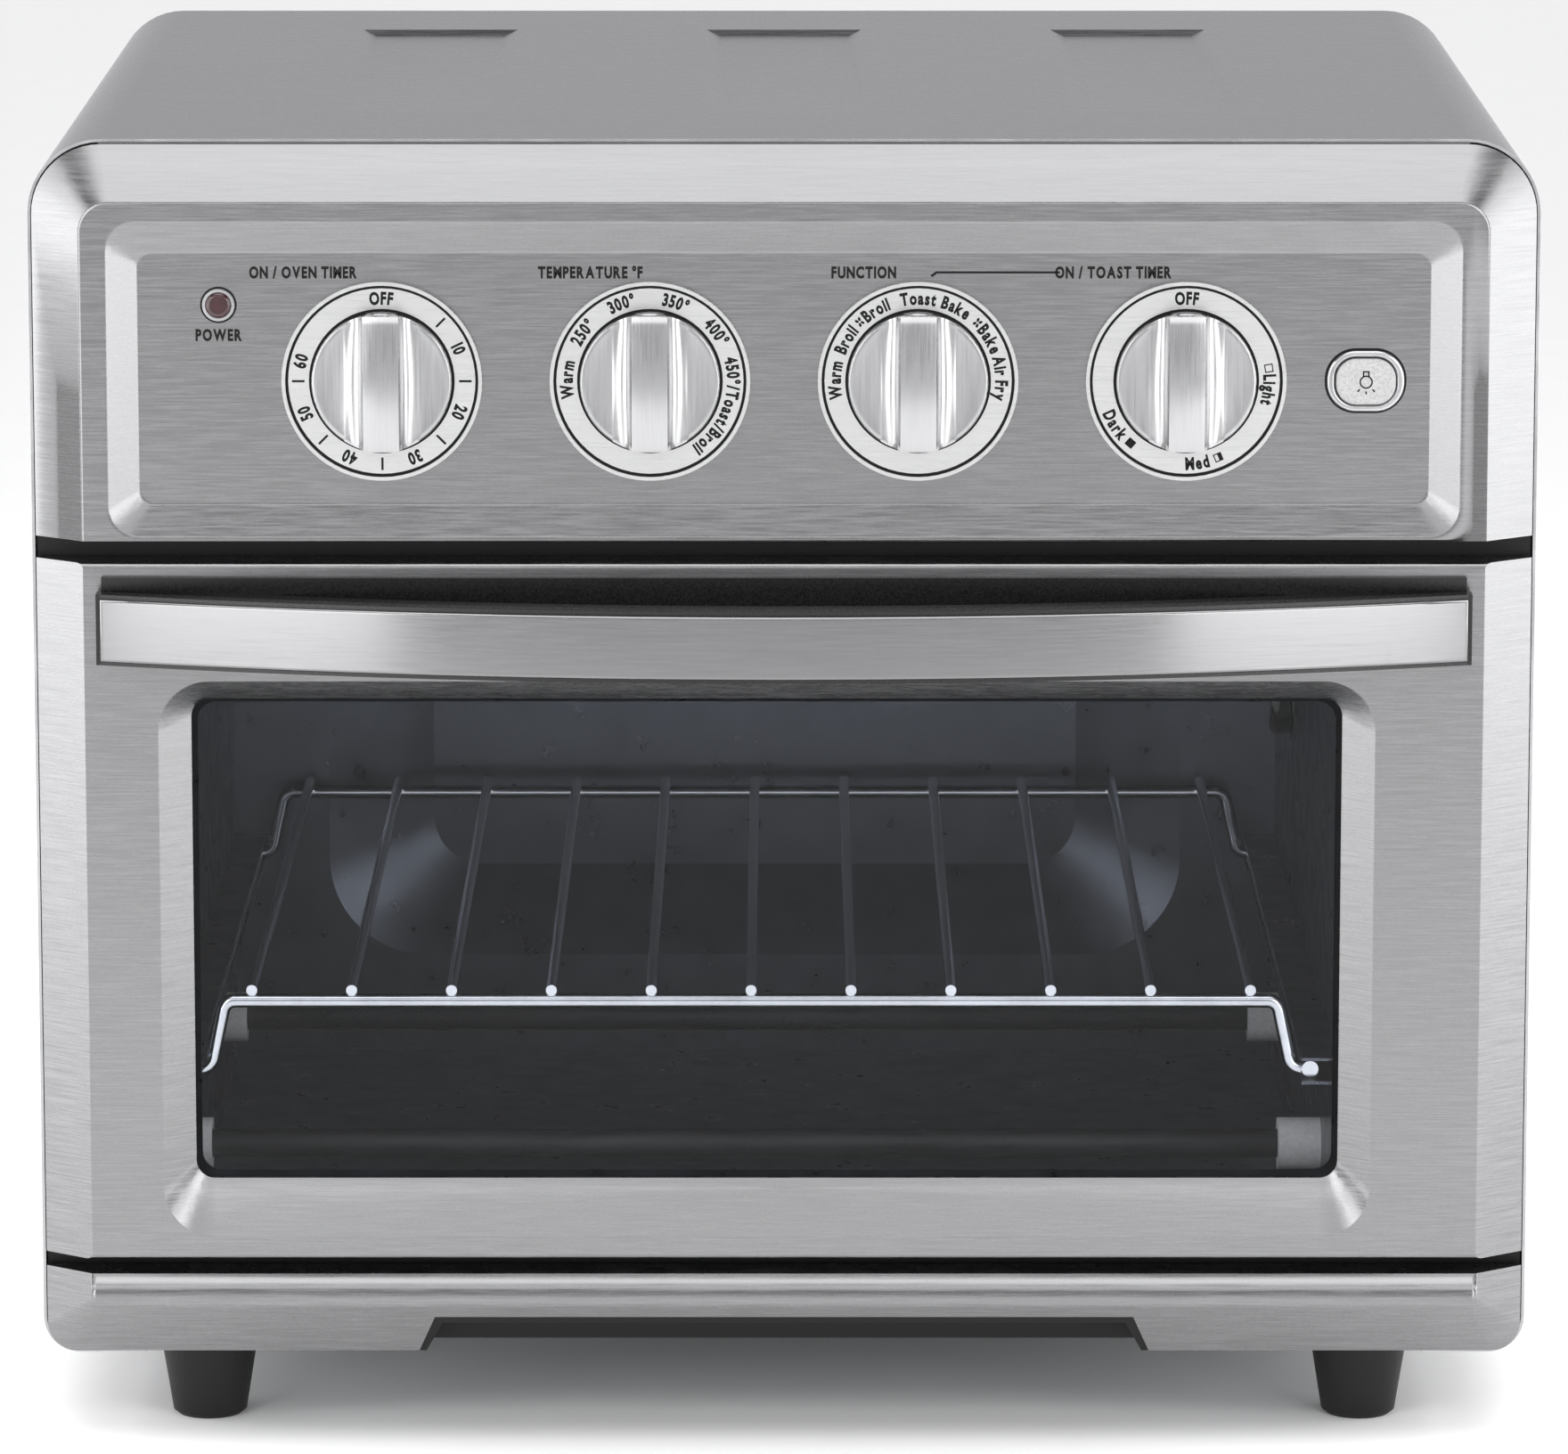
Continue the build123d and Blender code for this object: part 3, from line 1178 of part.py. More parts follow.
with BuildPart() as handle_screws:
    for side in (-1, 1):
        screw_x = side * (bar_land + handle_half) / 2
        screw_z = (band_low + band_high) / 2
        peg(screw_radius, (band_end_y + band_depth + 2, ridge_y + sheet), screw_x, screw_z)
        peg(screw_head_radius, (ridge_y + sheet, ridge_y + sheet + screw_head_height), screw_x, screw_z)
handle_screws.part.label = "handle_screws"
export_step(handle_screws.part, "parts/handle_screws.step")

# ------------------------------------------------------------------ wire rack
rack_y = (casing_front + rack_front, cavity_back_y - rack_rear_gap)
wire_z = rack_top + rail_radius + wire_radius - wire_weld
with BuildPart() as wire_rack:
    for y in rack_y:
        foot_left = rod_x[0] + rack_shoulder - rack_rise_run
        foot_right = rod_x[1] - rack_shoulder + rack_rise_run
        points = [
            (rod_x[0], y, rack_low), (foot_left, y, rack_low),
            (foot_left + rack_rise_run, y, rack_top), (foot_right - rack_rise_run, y, rack_top),
            (foot_right, y, rack_low), (rod_x[1], y, rack_low),
        ]
        with BuildLine() as rail_path:
            FilletPolyline(*points, radius=rack_bend)
        with BuildSketch(Plane(origin=points[0], z_dir=(1, 0, 0))):
            Circle(rail_radius)
        sweep(path=rail_path.line)
    for x in rod_x:
        peg(rod_radius, widened(rack_y, rail_radius), x, rack_low)
    wire_count = math.floor((rod_x[1] - rod_x[0] - 2 * rack_shoulder) / wire_pitch) + 1
    first_wire = cavity_middle - wire_pitch * (wire_count - 1) / 2
    for place in range(wire_count):
        peg(wire_radius, widened(rack_y, wire_radius), first_wire + place * wire_pitch, wire_z)
wire_rack.part.label = "wire_rack"
export_step(wire_rack.part, "parts/wire_rack.step")

# ------------------------------------------------------------------ crumb tray
strip_ridge_z = (strip_high - strip_face, strip_high)
with BuildPart() as crumb_tray_front:
    slab((rim_y, door_back), front_x, (strip_low, strip_high), strip_corner, 0)
    funnel(
        (rim_y, front_x, (strip_low, strip_high), strip_corner, 0),
        (ridge_y, ridge_x, strip_ridge_z, strip_ridge_corner, 0),
    )
    slab((rim_y - sheet / 2, door_back), widened(front_x, -sheet),
         (strip_low + sheet, strip_high - sheet), strip_corner - sheet, 0, mode=Mode.SUBTRACT)
    funnel(
        (rim_y - sheet / 2, widened(front_x, -sheet), (strip_low + sheet, strip_high - sheet),
         strip_corner - sheet, 0),
        (ridge_y + sheet, widened(ridge_x, -sheet / 2),
         (strip_ridge_z[0] + sheet / 2, strip_high - sheet), strip_ridge_corner - sheet / 2, 0),
        mode=Mode.SUBTRACT,
    )
    with BuildSketch(facing(door_back)):
        Polygon((-pull_half, strip_low), (pull_half, strip_low),
                (pull_half_top, strip_low + pull_height), (-pull_half_top, strip_low + pull_height),
                align=None)
    extrude(amount=relief, mode=Mode.SUBTRACT)
crumb_tray_front.part.label = "crumb_tray_front"
export_step(crumb_tray_front.part, "parts/crumb_tray_front.step")

slope_run = (relief - skirt) / (strip_height - strip_face)
grip_lip = rim_y - slope_run * pull_height
scoop_back = casing_front + pull_depth
with BuildPart() as tray_grip:
    with BuildSketch(facing(scoop_back + grip_wall)):
        Polygon((-pull_half, strip_low), (pull_half, strip_low),
                (pull_half_top, strip_low + pull_height), (-pull_half_top, strip_low + pull_height),
                align=None)
    extrude(amount=scoop_back + grip_wall - grip_lip)
    with BuildSketch(facing(scoop_back)):
        Polygon((-pull_half + grip_wall, strip_low), (pull_half - grip_wall, strip_low),
                (pull_half_top - grip_wall, strip_low + pull_height - grip_wall),
                (-pull_half_top + grip_wall, strip_low + pull_height - grip_wall), align=None)
    extrude(amount=scoop_back - grip_lip, mode=Mode.SUBTRACT)
    with BuildSketch(Plane.YZ.offset(-pull_half)):
        Polygon((grip_lip, strip_low), (rim_y, strip_low), (grip_lip, strip_low + pull_height),
                align=None)
    extrude(amount=2 * pull_half, mode=Mode.SUBTRACT)
    block((-pull_half_top, pull_half_top), (grip_lip + 2 * sheet, scoop_back + grip_wall),
          (strip_low + pull_height, pan_floor))
tray_grip.part.label = "tray_grip"
export_step(tray_grip.part, "parts/tray_grip.step")

pan_x = widened(cavity_x, -pan_side_gap)
pan_setback = sheet + sheet_fit + slope_run * (strip_ridge_z[0] + sheet / 2 - pan_floor)
pan_y = (ridge_y + pan_setback, cavity_back_y - pan_rear_gap)
with BuildPart() as crumb_tray_pan:
    block(pan_x, pan_y, (pan_floor, pan_floor + pan_height))
    block(widened(pan_x, -sheet), widened(pan_y, -sheet), (pan_floor + sheet, pan_floor + pan_height),
          mode=Mode.SUBTRACT)
crumb_tray_pan.part.label = "crumb_tray_pan"
export_step(crumb_tray_pan.part, "parts/crumb_tray_pan.step")
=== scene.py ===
import math

import bmesh
import bpy
from mathutils import Matrix, Vector


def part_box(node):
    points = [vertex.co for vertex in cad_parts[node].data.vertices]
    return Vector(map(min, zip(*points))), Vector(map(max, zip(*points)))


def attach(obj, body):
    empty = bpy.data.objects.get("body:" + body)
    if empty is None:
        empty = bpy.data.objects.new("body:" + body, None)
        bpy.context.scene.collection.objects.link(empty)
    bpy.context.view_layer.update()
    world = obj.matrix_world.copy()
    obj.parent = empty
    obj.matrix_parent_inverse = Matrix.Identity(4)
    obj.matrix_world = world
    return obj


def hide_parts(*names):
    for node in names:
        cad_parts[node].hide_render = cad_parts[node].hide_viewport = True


bl_info = {
    "name": "Countertop Toaster Oven",
    "version": (1, 0, 0),
    "blender": (4, 5, 0),
    "location": "View3D > Sidebar > Toaster Oven",
    "description": "Finishes the pieces of a countertop toaster oven and sets its studio",
    "category": "Object",
}

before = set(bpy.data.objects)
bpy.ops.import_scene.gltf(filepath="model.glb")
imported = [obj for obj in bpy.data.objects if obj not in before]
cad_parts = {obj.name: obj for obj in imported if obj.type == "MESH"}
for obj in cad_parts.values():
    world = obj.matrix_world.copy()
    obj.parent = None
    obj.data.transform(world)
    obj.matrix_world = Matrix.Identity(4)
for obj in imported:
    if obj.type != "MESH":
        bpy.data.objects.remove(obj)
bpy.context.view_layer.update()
MM = 0.001
WELD = 0.002 * MM  # corners this close are one
DIALS = ("oven_timer", "temperature", "function", "toast_timer")


# ------------------------------------------------------------------ colours and node trees
def linear(code):
    """A linear RGBA colour from an sRGB hex code."""
    shares = [int(code[place:place + 2], 16) / 255 for place in (1, 3, 5)]
    curved = [s / 12.92 if s <= 0.04045 else ((s + 0.055) / 1.055) ** 2.4 for s in shares]
    return (*curved, 1.0)


def shaded(colour, share):
    """A colour made lighter or darker by a share."""
    return (*(min(1, channel * share) for channel in colour[:3]), 1)


def hex_property(name, description, code):
    """A colour setting that starts from an sRGB hex code."""
    return bpy.props.FloatVectorProperty(
        name=name, description=description, subtype="COLOR", size=4, min=0, max=1, default=linear(code))


def size_property(name, description, millimetres):
    """A length setting, given in millimetres and kept in metres."""
    return bpy.props.FloatProperty(
        name=name, description=description, default=millimetres * MM, min=0, unit="LENGTH", precision=5)


def add_node(tree, kind, links=None, values=None, **settings):
    """Adds a node with its settings. Values set its inputs, and links feed them."""
    node = tree.nodes.new(kind)
    for key, value in settings.items():
        setattr(node, key, value)
    for key, value in (values or {}).items():
        node.inputs[key].default_value = value
    for key, source in (links or {}).items():
        tree.links.new(source, node.inputs[key])
    return node


def new_material(name, **shader):
    """A material with its Principled shader, and the shader itself."""
    material = bpy.data.materials.new(name)
    material.use_nodes = True
    tree = material.node_tree
    surface = tree.nodes["Principled BSDF"]
    for key, value in shader.items():
        surface.inputs[key.replace("_", " ").title().replace("Ior", "IOR")].default_value = value
    return material, tree, surface


def varied(tree, surface, cell, colours, rough, detail=3.0, rise=0.0):
    """Varies a finish in soft cells of a real size in millimetres, from one colour and roughness to another.

    A rise in millimetres also raises the cells as bumps.
    """
    place = add_node(tree, "ShaderNodeTexCoord")
    cells = add_node(tree, "ShaderNodeMapping", {"Vector": place.outputs["Object"]},
                     {"Scale": [1 / (side * MM) for side in cell]})
    noise = add_node(tree, "ShaderNodeTexNoise", {"Vector": cells.outputs[0]},
                     {"Scale": 1.0, "Detail": detail, "Roughness": 0.6})
    tone = add_node(tree, "ShaderNodeMapRange", {"Value": noise.outputs[0]},
                    {"From Min": 0.3, "From Max": 0.7})
    tint = add_node(tree, "ShaderNodeMix", {0: tone.outputs[0]},
                    {6: colours[0], 7: colours[1]}, data_type="RGBA")
    sheen = add_node(tree, "ShaderNodeMapRange", {"Value": tone.outputs[0]},
                     {"To Min": rough[0], "To Max": rough[1]})
    tree.links.new(tint.outputs[2], surface.inputs["Base Color"])
    tree.links.new(sheen.outputs[0], surface.inputs["Roughness"])
    if rise:
        bump = add_node(tree, "ShaderNodeBump", {"Height": noise.outputs[0]},
                        {"Strength": 0.35, "Distance": rise * MM})
        tree.links.new(bump.outputs[0], surface.inputs["Normal"])


# ------------------------------------------------------------------ materials
def brushed_sheet(name, colour, across, roughness, contrast=0.12, streak=16.0, spacing=0.55, axis="Z",
                  turn=0.25):
    """Brushed metal: a belt leaves parallel scratches, so reflections smear across them.

    The scratches are a streak long, and stand a spacing apart on the axis that runs across them.
    """
    material, tree, surface = new_material(name, metallic=1.0, anisotropic=0.45, anisotropic_rotation=turn)
    # Real scratches stand about 0.05 mm apart. They are drawn coarser here, or they would not show.
    cell = [spacing if side == across else streak for side in "XYZ"]
    varied(tree, surface, cell, (shaded(colour, 1 - contrast), shaded(colour, 1 + contrast)),
           (roughness - 0.05, roughness + 0.05), 4.0, 0.012)
    around = add_node(tree, "ShaderNodeTangent", direction_type="RADIAL", axis=axis)
    tree.links.new(around.outputs[0], surface.inputs["Tangent"])
    return material


def plated_steel(name, colour, roughness, cell=9.0):
    """Zinc-plated or aluminised sheet: dull metal with soft cloudy patches from the bath."""
    material, tree, surface = new_material(name, metallic=1.0)
    varied(tree, surface, (cell,) * 3, (shaded(colour, 0.9), shaded(colour, 1.1)),
           (roughness - 0.07, roughness + 0.07), 4.0)
    return material


def moulded_plastic(name, colour, roughness, grit=0.6, depth=0.04, specular=0.5):
    """Injection-moulded plastic or rubber: even colour with the fine spark-eroded grain of its mould."""
    # A mould's grain is about 0.1 mm. It is drawn coarser here, or it would not show.
    material, tree, surface = new_material(name, specular_ior_level=specular)
    varied(tree, surface, (grit,) * 3, (shaded(colour, 0.85), shaded(colour, 1.15)),
           (roughness - 0.06, roughness + 0.06), 2.0, depth)
    return material


def bright_plate(name, colour, rough=(0.08, 0.2)):
    """Nickel-chrome plating: a near mirror, with faint dulling where food and heat have been."""
    material, tree, surface = new_material(name, metallic=1.0)
    varied(tree, surface, (14,) * 3, (shaded(colour, 0.9), shaded(colour, 1.06)), rough)
    return material


def tempered_glass(name, colour, ior):
    """Clear toughened glass: a sharp reflection, and lamps reach what is behind it."""
    material, tree, surface = new_material(name, ior=ior, transmission_weight=1.0)
    varied(tree, surface, (60,) * 3, (shaded(colour, 0.98), colour), (0.0, 0.0))
    clear = add_node(tree, "ShaderNodeBsdfTransparent", values={"Color": colour})
    path = add_node(tree, "ShaderNodeLightPath")
    mix = add_node(tree, "ShaderNodeMixShader", {
        0: path.outputs["Is Shadow Ray"], 1: surface.outputs[0], 2: clear.outputs[0]})
    tree.links.new(mix.outputs[0], tree.nodes["Material Output"].inputs["Surface"])
    return material


def fired_ceramic(name, colour):
    """Unglazed steatite: chalky, with a faint speckle."""
    material, tree, surface = new_material(name, specular_ior_level=0.4)
    varied(tree, surface, (1.2,) * 3, (shaded(colour, 0.86), shaded(colour, 1.05)), (0.5, 0.7), 4.0, 0.02)
    return material


def heater_sheath(name, colour):
    """Oxidised heater tube: dark nickel steel, banded a little where it has glowed."""
    material, tree, surface = new_material(name, metallic=0.8)
    varied(tree, surface, (22, 3, 3), (shaded(colour, 0.7), shaded(colour, 1.35)), (0.36, 0.6), 4.0)
    return material


def lamp_lens(name, colour):
    """Moulded red polycarbonate lens: a clear glossy dome over a darker core."""
    material, tree, surface = new_material(name, coat_weight=0.6, specular_ior_level=0.6)
    varied(tree, surface, (1.4,) * 3, (shaded(colour, 0.6), shaded(colour, 1.6)), (0.05, 0.14))
    return material


def printed_ink(name, colour):
    """Screen-printed epoxy ink: flat and nearly black. The same ink paints shade: the dark rings and lines in
    the gaps round the knobs, the lamp and the button, and in each dial's groove.
    """
    material, tree, surface = new_material(name, specular_ior_level=0.2)
    varied(tree, surface, (0.5,) * 3, (shaded(colour, 0.8), shaded(colour, 1.3)), (0.55, 0.75))
    return material


def studio_paper(name, colour):
    """Seamless paper: matt and pale."""
    material, tree, surface = new_material(name, specular_ior_level=0.1)
    varied(tree, surface, (30,) * 3, (shaded(colour, 0.99), colour), (0.78, 0.85))
    return material


made_finishes = {}


def finish(name):
    """The named finish, made once from the colour settings."""
    if name not in made_finishes:
        made_finishes[name] = FINISHES[name](bpy.context.scene.oven_finishes)
    return made_finishes[name]


FINISHES = {
    # One brushed stainless in two colours: the front's is darker than the cover's, painted shade on the front
    # against painted light on the top.
    "stainless": lambda c: brushed_sheet("brushed_stainless_sheet", c.stainless, "Z", 0.27),
    "stainless_cover": lambda c: brushed_sheet("brushed_stainless_cover", c.cover, "Y", 0.27, 0.14, axis="Y"),
    "stainless_band": lambda c: brushed_sheet("brushed_stainless_band", c.band, "Z", 0.17, 0.06),
    "knob_metal": lambda c: brushed_sheet(
        "brushed_knob_aluminium", c.knob, "X", 0.22, 0.07, 14, 0.4, "Y", 0.0),
    "dial_plate": lambda c: brushed_sheet("satin_dial_aluminium", c.dial_plate, "Z", 0.3, 0.03),
    "trim": lambda c: bright_plate("satin_chrome_trim", c.trim, (0.12, 0.26)),
    "wire": lambda c: bright_plate("chromed_rack_wire", c.wire),
    "lining": lambda c: plated_steel("aluminised_oven_lining", c.lining, 0.33),
    "frame": lambda c: plated_steel("galvanised_frame_steel", c.plated, 0.45),
    "rear": lambda c: plated_steel("galvanised_rear_steel", c.plated, 0.38, 6.0),
    "screw": lambda c: plated_steel("zinc_plated_screw", c.screw, 0.28, 2.0),
    # Near black: the tray grip's own black plastic, and painted shade for the front frame in the gap above
    # the door.
    "painted": lambda c: moulded_plastic("black_frame_gap_shade", c.gap, 0.45, 1.0, 0.02, 0.3),
    "plastic": lambda c: moulded_plastic("moulded_black_phenolic", c.plastic, 0.28),
    "rubber": lambda c: moulded_plastic("moulded_black_rubber", c.rubber, 0.55, 0.8, 0.06, 0.35),
    "button": lambda c: moulded_plastic("silver_moulded_button", c.button, 0.3, 0.5, 0.015),
    "brown": lambda c: moulded_plastic("brown_phenolic", c.phenolic, 0.45),
    # The door glass is coated against glare, so it reflects less than the 1.5 of plain soda-lime glass.
    "glass": lambda c: tempered_glass("tempered_door_glass", c.glass, 1.2),
    "bulb": lambda c: tempered_glass("clear_lamp_glass", c.bulb, 1.5),
    "lens": lambda c: lamp_lens("red_polycarbonate_lens", c.lens),
    "ceramic": lambda c: fired_ceramic("white_steatite", c.ceramic),
    "sheath": lambda c: heater_sheath("oxidised_heater_sheath", c.sheath),
    "brass": lambda c: plated_steel("brass_probe", c.brass, 0.35, 4.0),
    # This ink also paints the shade lines in the gaps round the controls and in the dials' grooves.
    "ink": lambda c: printed_ink("black_epoxy_ink_and_shade", c.ink),
    "paper": lambda c: studio_paper("seamless_paper", c.paper),
}


def dress(nodes, name):
    """Gives CAD nodes a finish."""
    for node in nodes:
        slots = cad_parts[node].data.materials
        slots.clear()
        slots.append(finish(name))


# ------------------------------------------------------------------ mesh helpers
def object_from(name, mesh, material):
    """A linked object at the origin with one finish."""
    mesh.materials.clear()
    mesh.materials.append(material)
    piece = bpy.data.objects.new(name, mesh)
    bpy.context.scene.collection.objects.link(piece)
    return piece


def shade(mesh, sharp_angle):
    """Shades a mesh smooth, but for the edges past an angle in degrees."""
    mesh.shade_smooth()
    mesh.set_sharp_from_angle(angle=math.radians(sharp_angle))


def mesh_from(bm, name, sharp_angle=35):
    """A mesh from a bmesh, smooth but for its sharp edges."""
    bmesh.ops.recalc_face_normals(bm, faces=bm.faces)
    mesh = bpy.data.meshes.new(name)
    bm.to_mesh(mesh)
    bm.free()
    shade(mesh, sharp_angle)
    return mesh


def settle(piece):
    """Applies a piece's modifiers to its mesh."""
    depsgraph = bpy.context.evaluated_depsgraph_get()
    mesh = bpy.data.meshes.new_from_object(piece.evaluated_get(depsgraph))
    piece.modifiers.clear()
    old = piece.data
    piece.data = mesh
    bpy.data.meshes.remove(old)
    return piece


def tidy_copy(node):
    """A bmesh of a CAD node with its triangles merged into flat faces."""
    bm = bmesh.new()
    bm.from_mesh(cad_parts[node].data)
    bmesh.ops.remove_doubles(bm, verts=bm.verts, dist=WELD)
    bmesh.ops.dissolve_limit(bm, angle_limit=math.radians(0.5), verts=bm.verts, edges=bm.edges)
    return bm


def crease_between(edge, low, high):
    """Whether an edge's two faces meet at an angle between two limits, in degrees."""
    return len(edge.link_faces) == 2 and low < math.degrees(edge.calc_face_angle()) < high


def pressed_crease(edge):
    """A bend between two faces that the front shows."""
    return crease_between(edge, 12, 80) and all(f.normal.y < -0.15 for f in edge.link_faces)


def front_rim(edge):
    """A square edge round a front face."""
    return crease_between(edge, 50, 120) and min(f.normal.y for f in edge.link_faces) < -0.8


def softened(node, name, look, radius, body, chosen=pressed_crease):
    """A CAD piece's shape with its chosen edges rounded, as a press or a mould leaves them."""
    bm = tidy_copy(node)
    bmesh.ops.bevel(bm, geom=[e for e in bm.edges if chosen(e)], offset=radius, offset_type="OFFSET",
                    segments=4, profile=0.5, affect="EDGES", clamp_overlap=True)
    piece = object_from(name, mesh_from(bm, name, 40), finish(look))
    weigh = piece.modifiers.new("even_flats", "WEIGHTED_NORMAL")
    weigh.keep_sharp = True
    settle(piece)
    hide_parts(node)
    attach(piece, body)
    return piece


def turned(profile, centre, segments=96):
    """A bmesh turned about the Y axis through centre (x, z) from (radius, y) points."""
    bm = bmesh.new()
    rings = []
    for radius, y in profile:
        turns = [2 * math.pi * step / segments for step in range(segments if radius > 0 else 1)]
        rings.append([bm.verts.new((centre[0] + radius * math.sin(t), y, centre[1] + radius * math.cos(t)))
                      for t in turns])
    for one, two in zip(rings, rings[1:]):
        for step in range(segments):
            after = (step + 1) % segments
            corners = [one[step % len(one)], one[after % len(one)],
                       two[after % len(two)], two[step % len(two)]]
            unique = list(dict.fromkeys(corners))
            if len(unique) > 2:
                bm.faces.new(unique)
    return bm


def prism(outline, y_low, y_high):
    """A bmesh of an outline of (x, z) points, from y_low to y_high."""
    bm = bmesh.new()
    near = [bm.verts.new((x, y_low, z)) for x, z in outline]
    far = [bm.verts.new((x, y_high, z)) for x, z in outline]
    bm.faces.new(near)
    bm.faces.new(list(reversed(far)))
    for a in range(len(outline)):
        b = (a + 1) % len(outline)
        bm.faces.new((near[a], far[a], far[b], near[b]))
    return bm


def stroke(start, end, width):
    """The outline of a straight bar between two (x, z) points."""
    along = Vector((end[0] - start[0], end[1] - start[1])).normalized()
    side = Vector((-along.y, along.x)) * width / 2
    return [(start[0] + side.x, start[1] + side.y), (end[0] + side.x, end[1] + side.y),
            (end[0] - side.x, end[1] - side.y), (start[0] - side.x, start[1] - side.y)]


def join_into(bm, mesh, place):
    """Adds a copy of a mesh, moved by a matrix, to a bmesh."""
    first = len(bm.verts)
    bm.from_mesh(mesh)
    bm.verts.ensure_lookup_table()
    bmesh.ops.transform(bm, matrix=place, verts=bm.verts[first:])


def printed(name, shapes, body):
    """One inked piece from several bmeshes: print, and the painted shade lines drawn with it."""
    bm = bmesh.new()
    for number, shape in enumerate(shapes):
        join_into(bm, mesh_from(shape, f"{name}_{number}"), Matrix.Identity(4))
    piece = object_from(name, mesh_from(bm, name), finish("ink"))
    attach(piece, body)
    return piece


# ------------------------------------------------------------------ lettering
letter_shapes = {}
UPRIGHT = Matrix.Rotation(math.pi / 2, 4, "X")  # stands a letter's plane up to face the front


def fan_symbol(size, depth):
    """A small four-bladed fan, as tall as a capital."""
    bm = bmesh.new()
    reach = size * 0.34
    for blade in range(4):
        turn = math.radians(45 + 90 * blade)
        ring = []
        for step in range(10):
            angle = 2 * math.pi * step / 10
            out, side = reach * (0.58 + 0.42 * math.cos(angle)), reach * 0.30 * math.sin(angle)
            ring.append((out * math.cos(turn) - side * math.sin(turn),
                         out * math.sin(turn) + side * math.cos(turn) + reach))
        low = [bm.verts.new((x, y, -depth / 2)) for x, y in ring]
        high = [bm.verts.new((x, y, depth / 2)) for x, y in ring]
        bm.faces.new(low)
        bm.faces.new(list(reversed(high)))
        for a in range(10):
            bm.faces.new((low[a], high[a], high[(a + 1) % 10], low[(a + 1) % 10]))
    return mesh_from(bm, "fan_symbol"), reach * 2


def letter(character, size, depth):
    """A thin raised mesh of one character, in the XY plane, with its width."""
    key = (character, size)
    if key not in letter_shapes and character == "*":
        letter_shapes[key] = fan_symbol(size, depth)
    if key not in letter_shapes:
        curve = bpy.data.curves.new("letter", "FONT")
        curve.body = character
        curve.size = size
        curve.extrude = depth / 2
        curve.offset = size * 0.045
        curve.resolution_u = 3
        holder = bpy.data.objects.new("letter", curve)
        bpy.context.scene.collection.objects.link(holder)
        depsgraph = bpy.context.evaluated_depsgraph_get()
        mesh = bpy.data.meshes.new_from_object(holder.evaluated_get(depsgraph))
        bpy.data.objects.remove(holder)
        low = min((v.co.x for v in mesh.vertices), default=0)
        high = max((v.co.x for v in mesh.vertices), default=size * 0.25)
        mesh.transform(Matrix.Translation((-(low + high) / 2, 0, 0)))
        letter_shapes[key] = (mesh, high - low)
    return letter_shapes[key]


def line_of(text, style):
    """Each character of a text with the distance of its middle from the text's middle."""
    places, run = [], 0.0
    gap = style.letter_size * 0.075
    for character in text:
        if character == " ":
            run += style.letter_size * style.condense * 0.30
            continue
        mesh, width = letter(character, style.letter_size, style.ink_depth)
        width *= style.condense
        places.append((mesh, run + width / 2))
        run += width + gap
    half = (run - gap) / 2
    return [(mesh, place - half) for mesh, place in places]


def straight_text(bm, text, x, z, y, style, scale=1.0):
    """Text on a flat front, centred on x with its baseline at z."""
    squeeze = Matrix.Diagonal((style.condense * scale, scale, 1, 1))
    for mesh, place in line_of(text, style):
        join_into(bm, mesh, Matrix.Translation((x + place * scale, y, z)) @ UPRIGHT @ squeeze)


def arc_text(bm, text, centre, radius, degrees, y, style, inward=False):
    """Text round a dial, centred on an angle clockwise from the top. Its tops point outward unless inward."""
    squeeze = Matrix.Diagonal((style.condense, 1, 1, 1))
    drop = Matrix.Translation((0, -style.letter_size * 0.34, 0))
    for mesh, place in line_of(text, style):
        turn = math.radians(degrees) + (-1 if inward else 1) * place / radius
        spin = turn + (math.pi if inward else 0)
        at = Matrix.Translation((centre[0] + radius * math.sin(turn), y, centre[1] + radius * math.cos(turn)))
        join_into(bm, mesh, at @ Matrix.Rotation(spin, 4, "Y") @ UPRIGHT @ drop @ squeeze)


def middle_of(node):
    """The x and z of the middle of a node."""
    low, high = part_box(node)
    return ((low.x + high.x) / 2, (low.z + high.z) / 2)


# ------------------------------------------------------------------ geometry nodes
def new_tree(name, sockets):
    """A geometry node tree with named inputs, its input node and its output node."""
    tree = bpy.data.node_groups.new(name, "GeometryNodeTree")
    tree.interface.new_socket("Geometry", in_out="INPUT", socket_type="NodeSocketGeometry")
    for socket, kind in sockets:
        tree.interface.new_socket(socket, in_out="INPUT", socket_type=f"NodeSocket{kind}")
    tree.interface.new_socket("Geometry", in_out="OUTPUT", socket_type="NodeSocketGeometry")
    return tree, add_node(tree, "NodeGroupInput"), add_node(tree, "NodeGroupOutput")


def close_tree(tree, output, geometry, paint):
    """Ends a tree in Realize Instances and Set Material."""
    real = add_node(tree, "GeometryNodeRealizeInstances", {"Geometry": geometry})
    painted = add_node(tree, "GeometryNodeSetMaterial", {"Geometry": real.outputs[0], "Material": paint})
    tree.links.new(painted.outputs[0], output.inputs[0])


def grown(name, points, tree, values, material, sharp_angle=35):
    """A plain mesh piece made by a geometry node tree on loose points."""
    mesh = bpy.data.meshes.new(name)
    mesh.from_pydata(points, [], [])
    piece = object_from(name, mesh, material)
    modifier = piece.modifiers.new("grow", "NODES")
    modifier.node_group = tree
    identifiers = {item.name: item.identifier for item in tree.interface.items_tree if item.in_out == "INPUT"}
    for key, value in {**values, "Finish": material}.items():
        modifier[identifiers[key]] = value
    settle(piece)
    shade(piece.data, sharp_angle)
    return piece


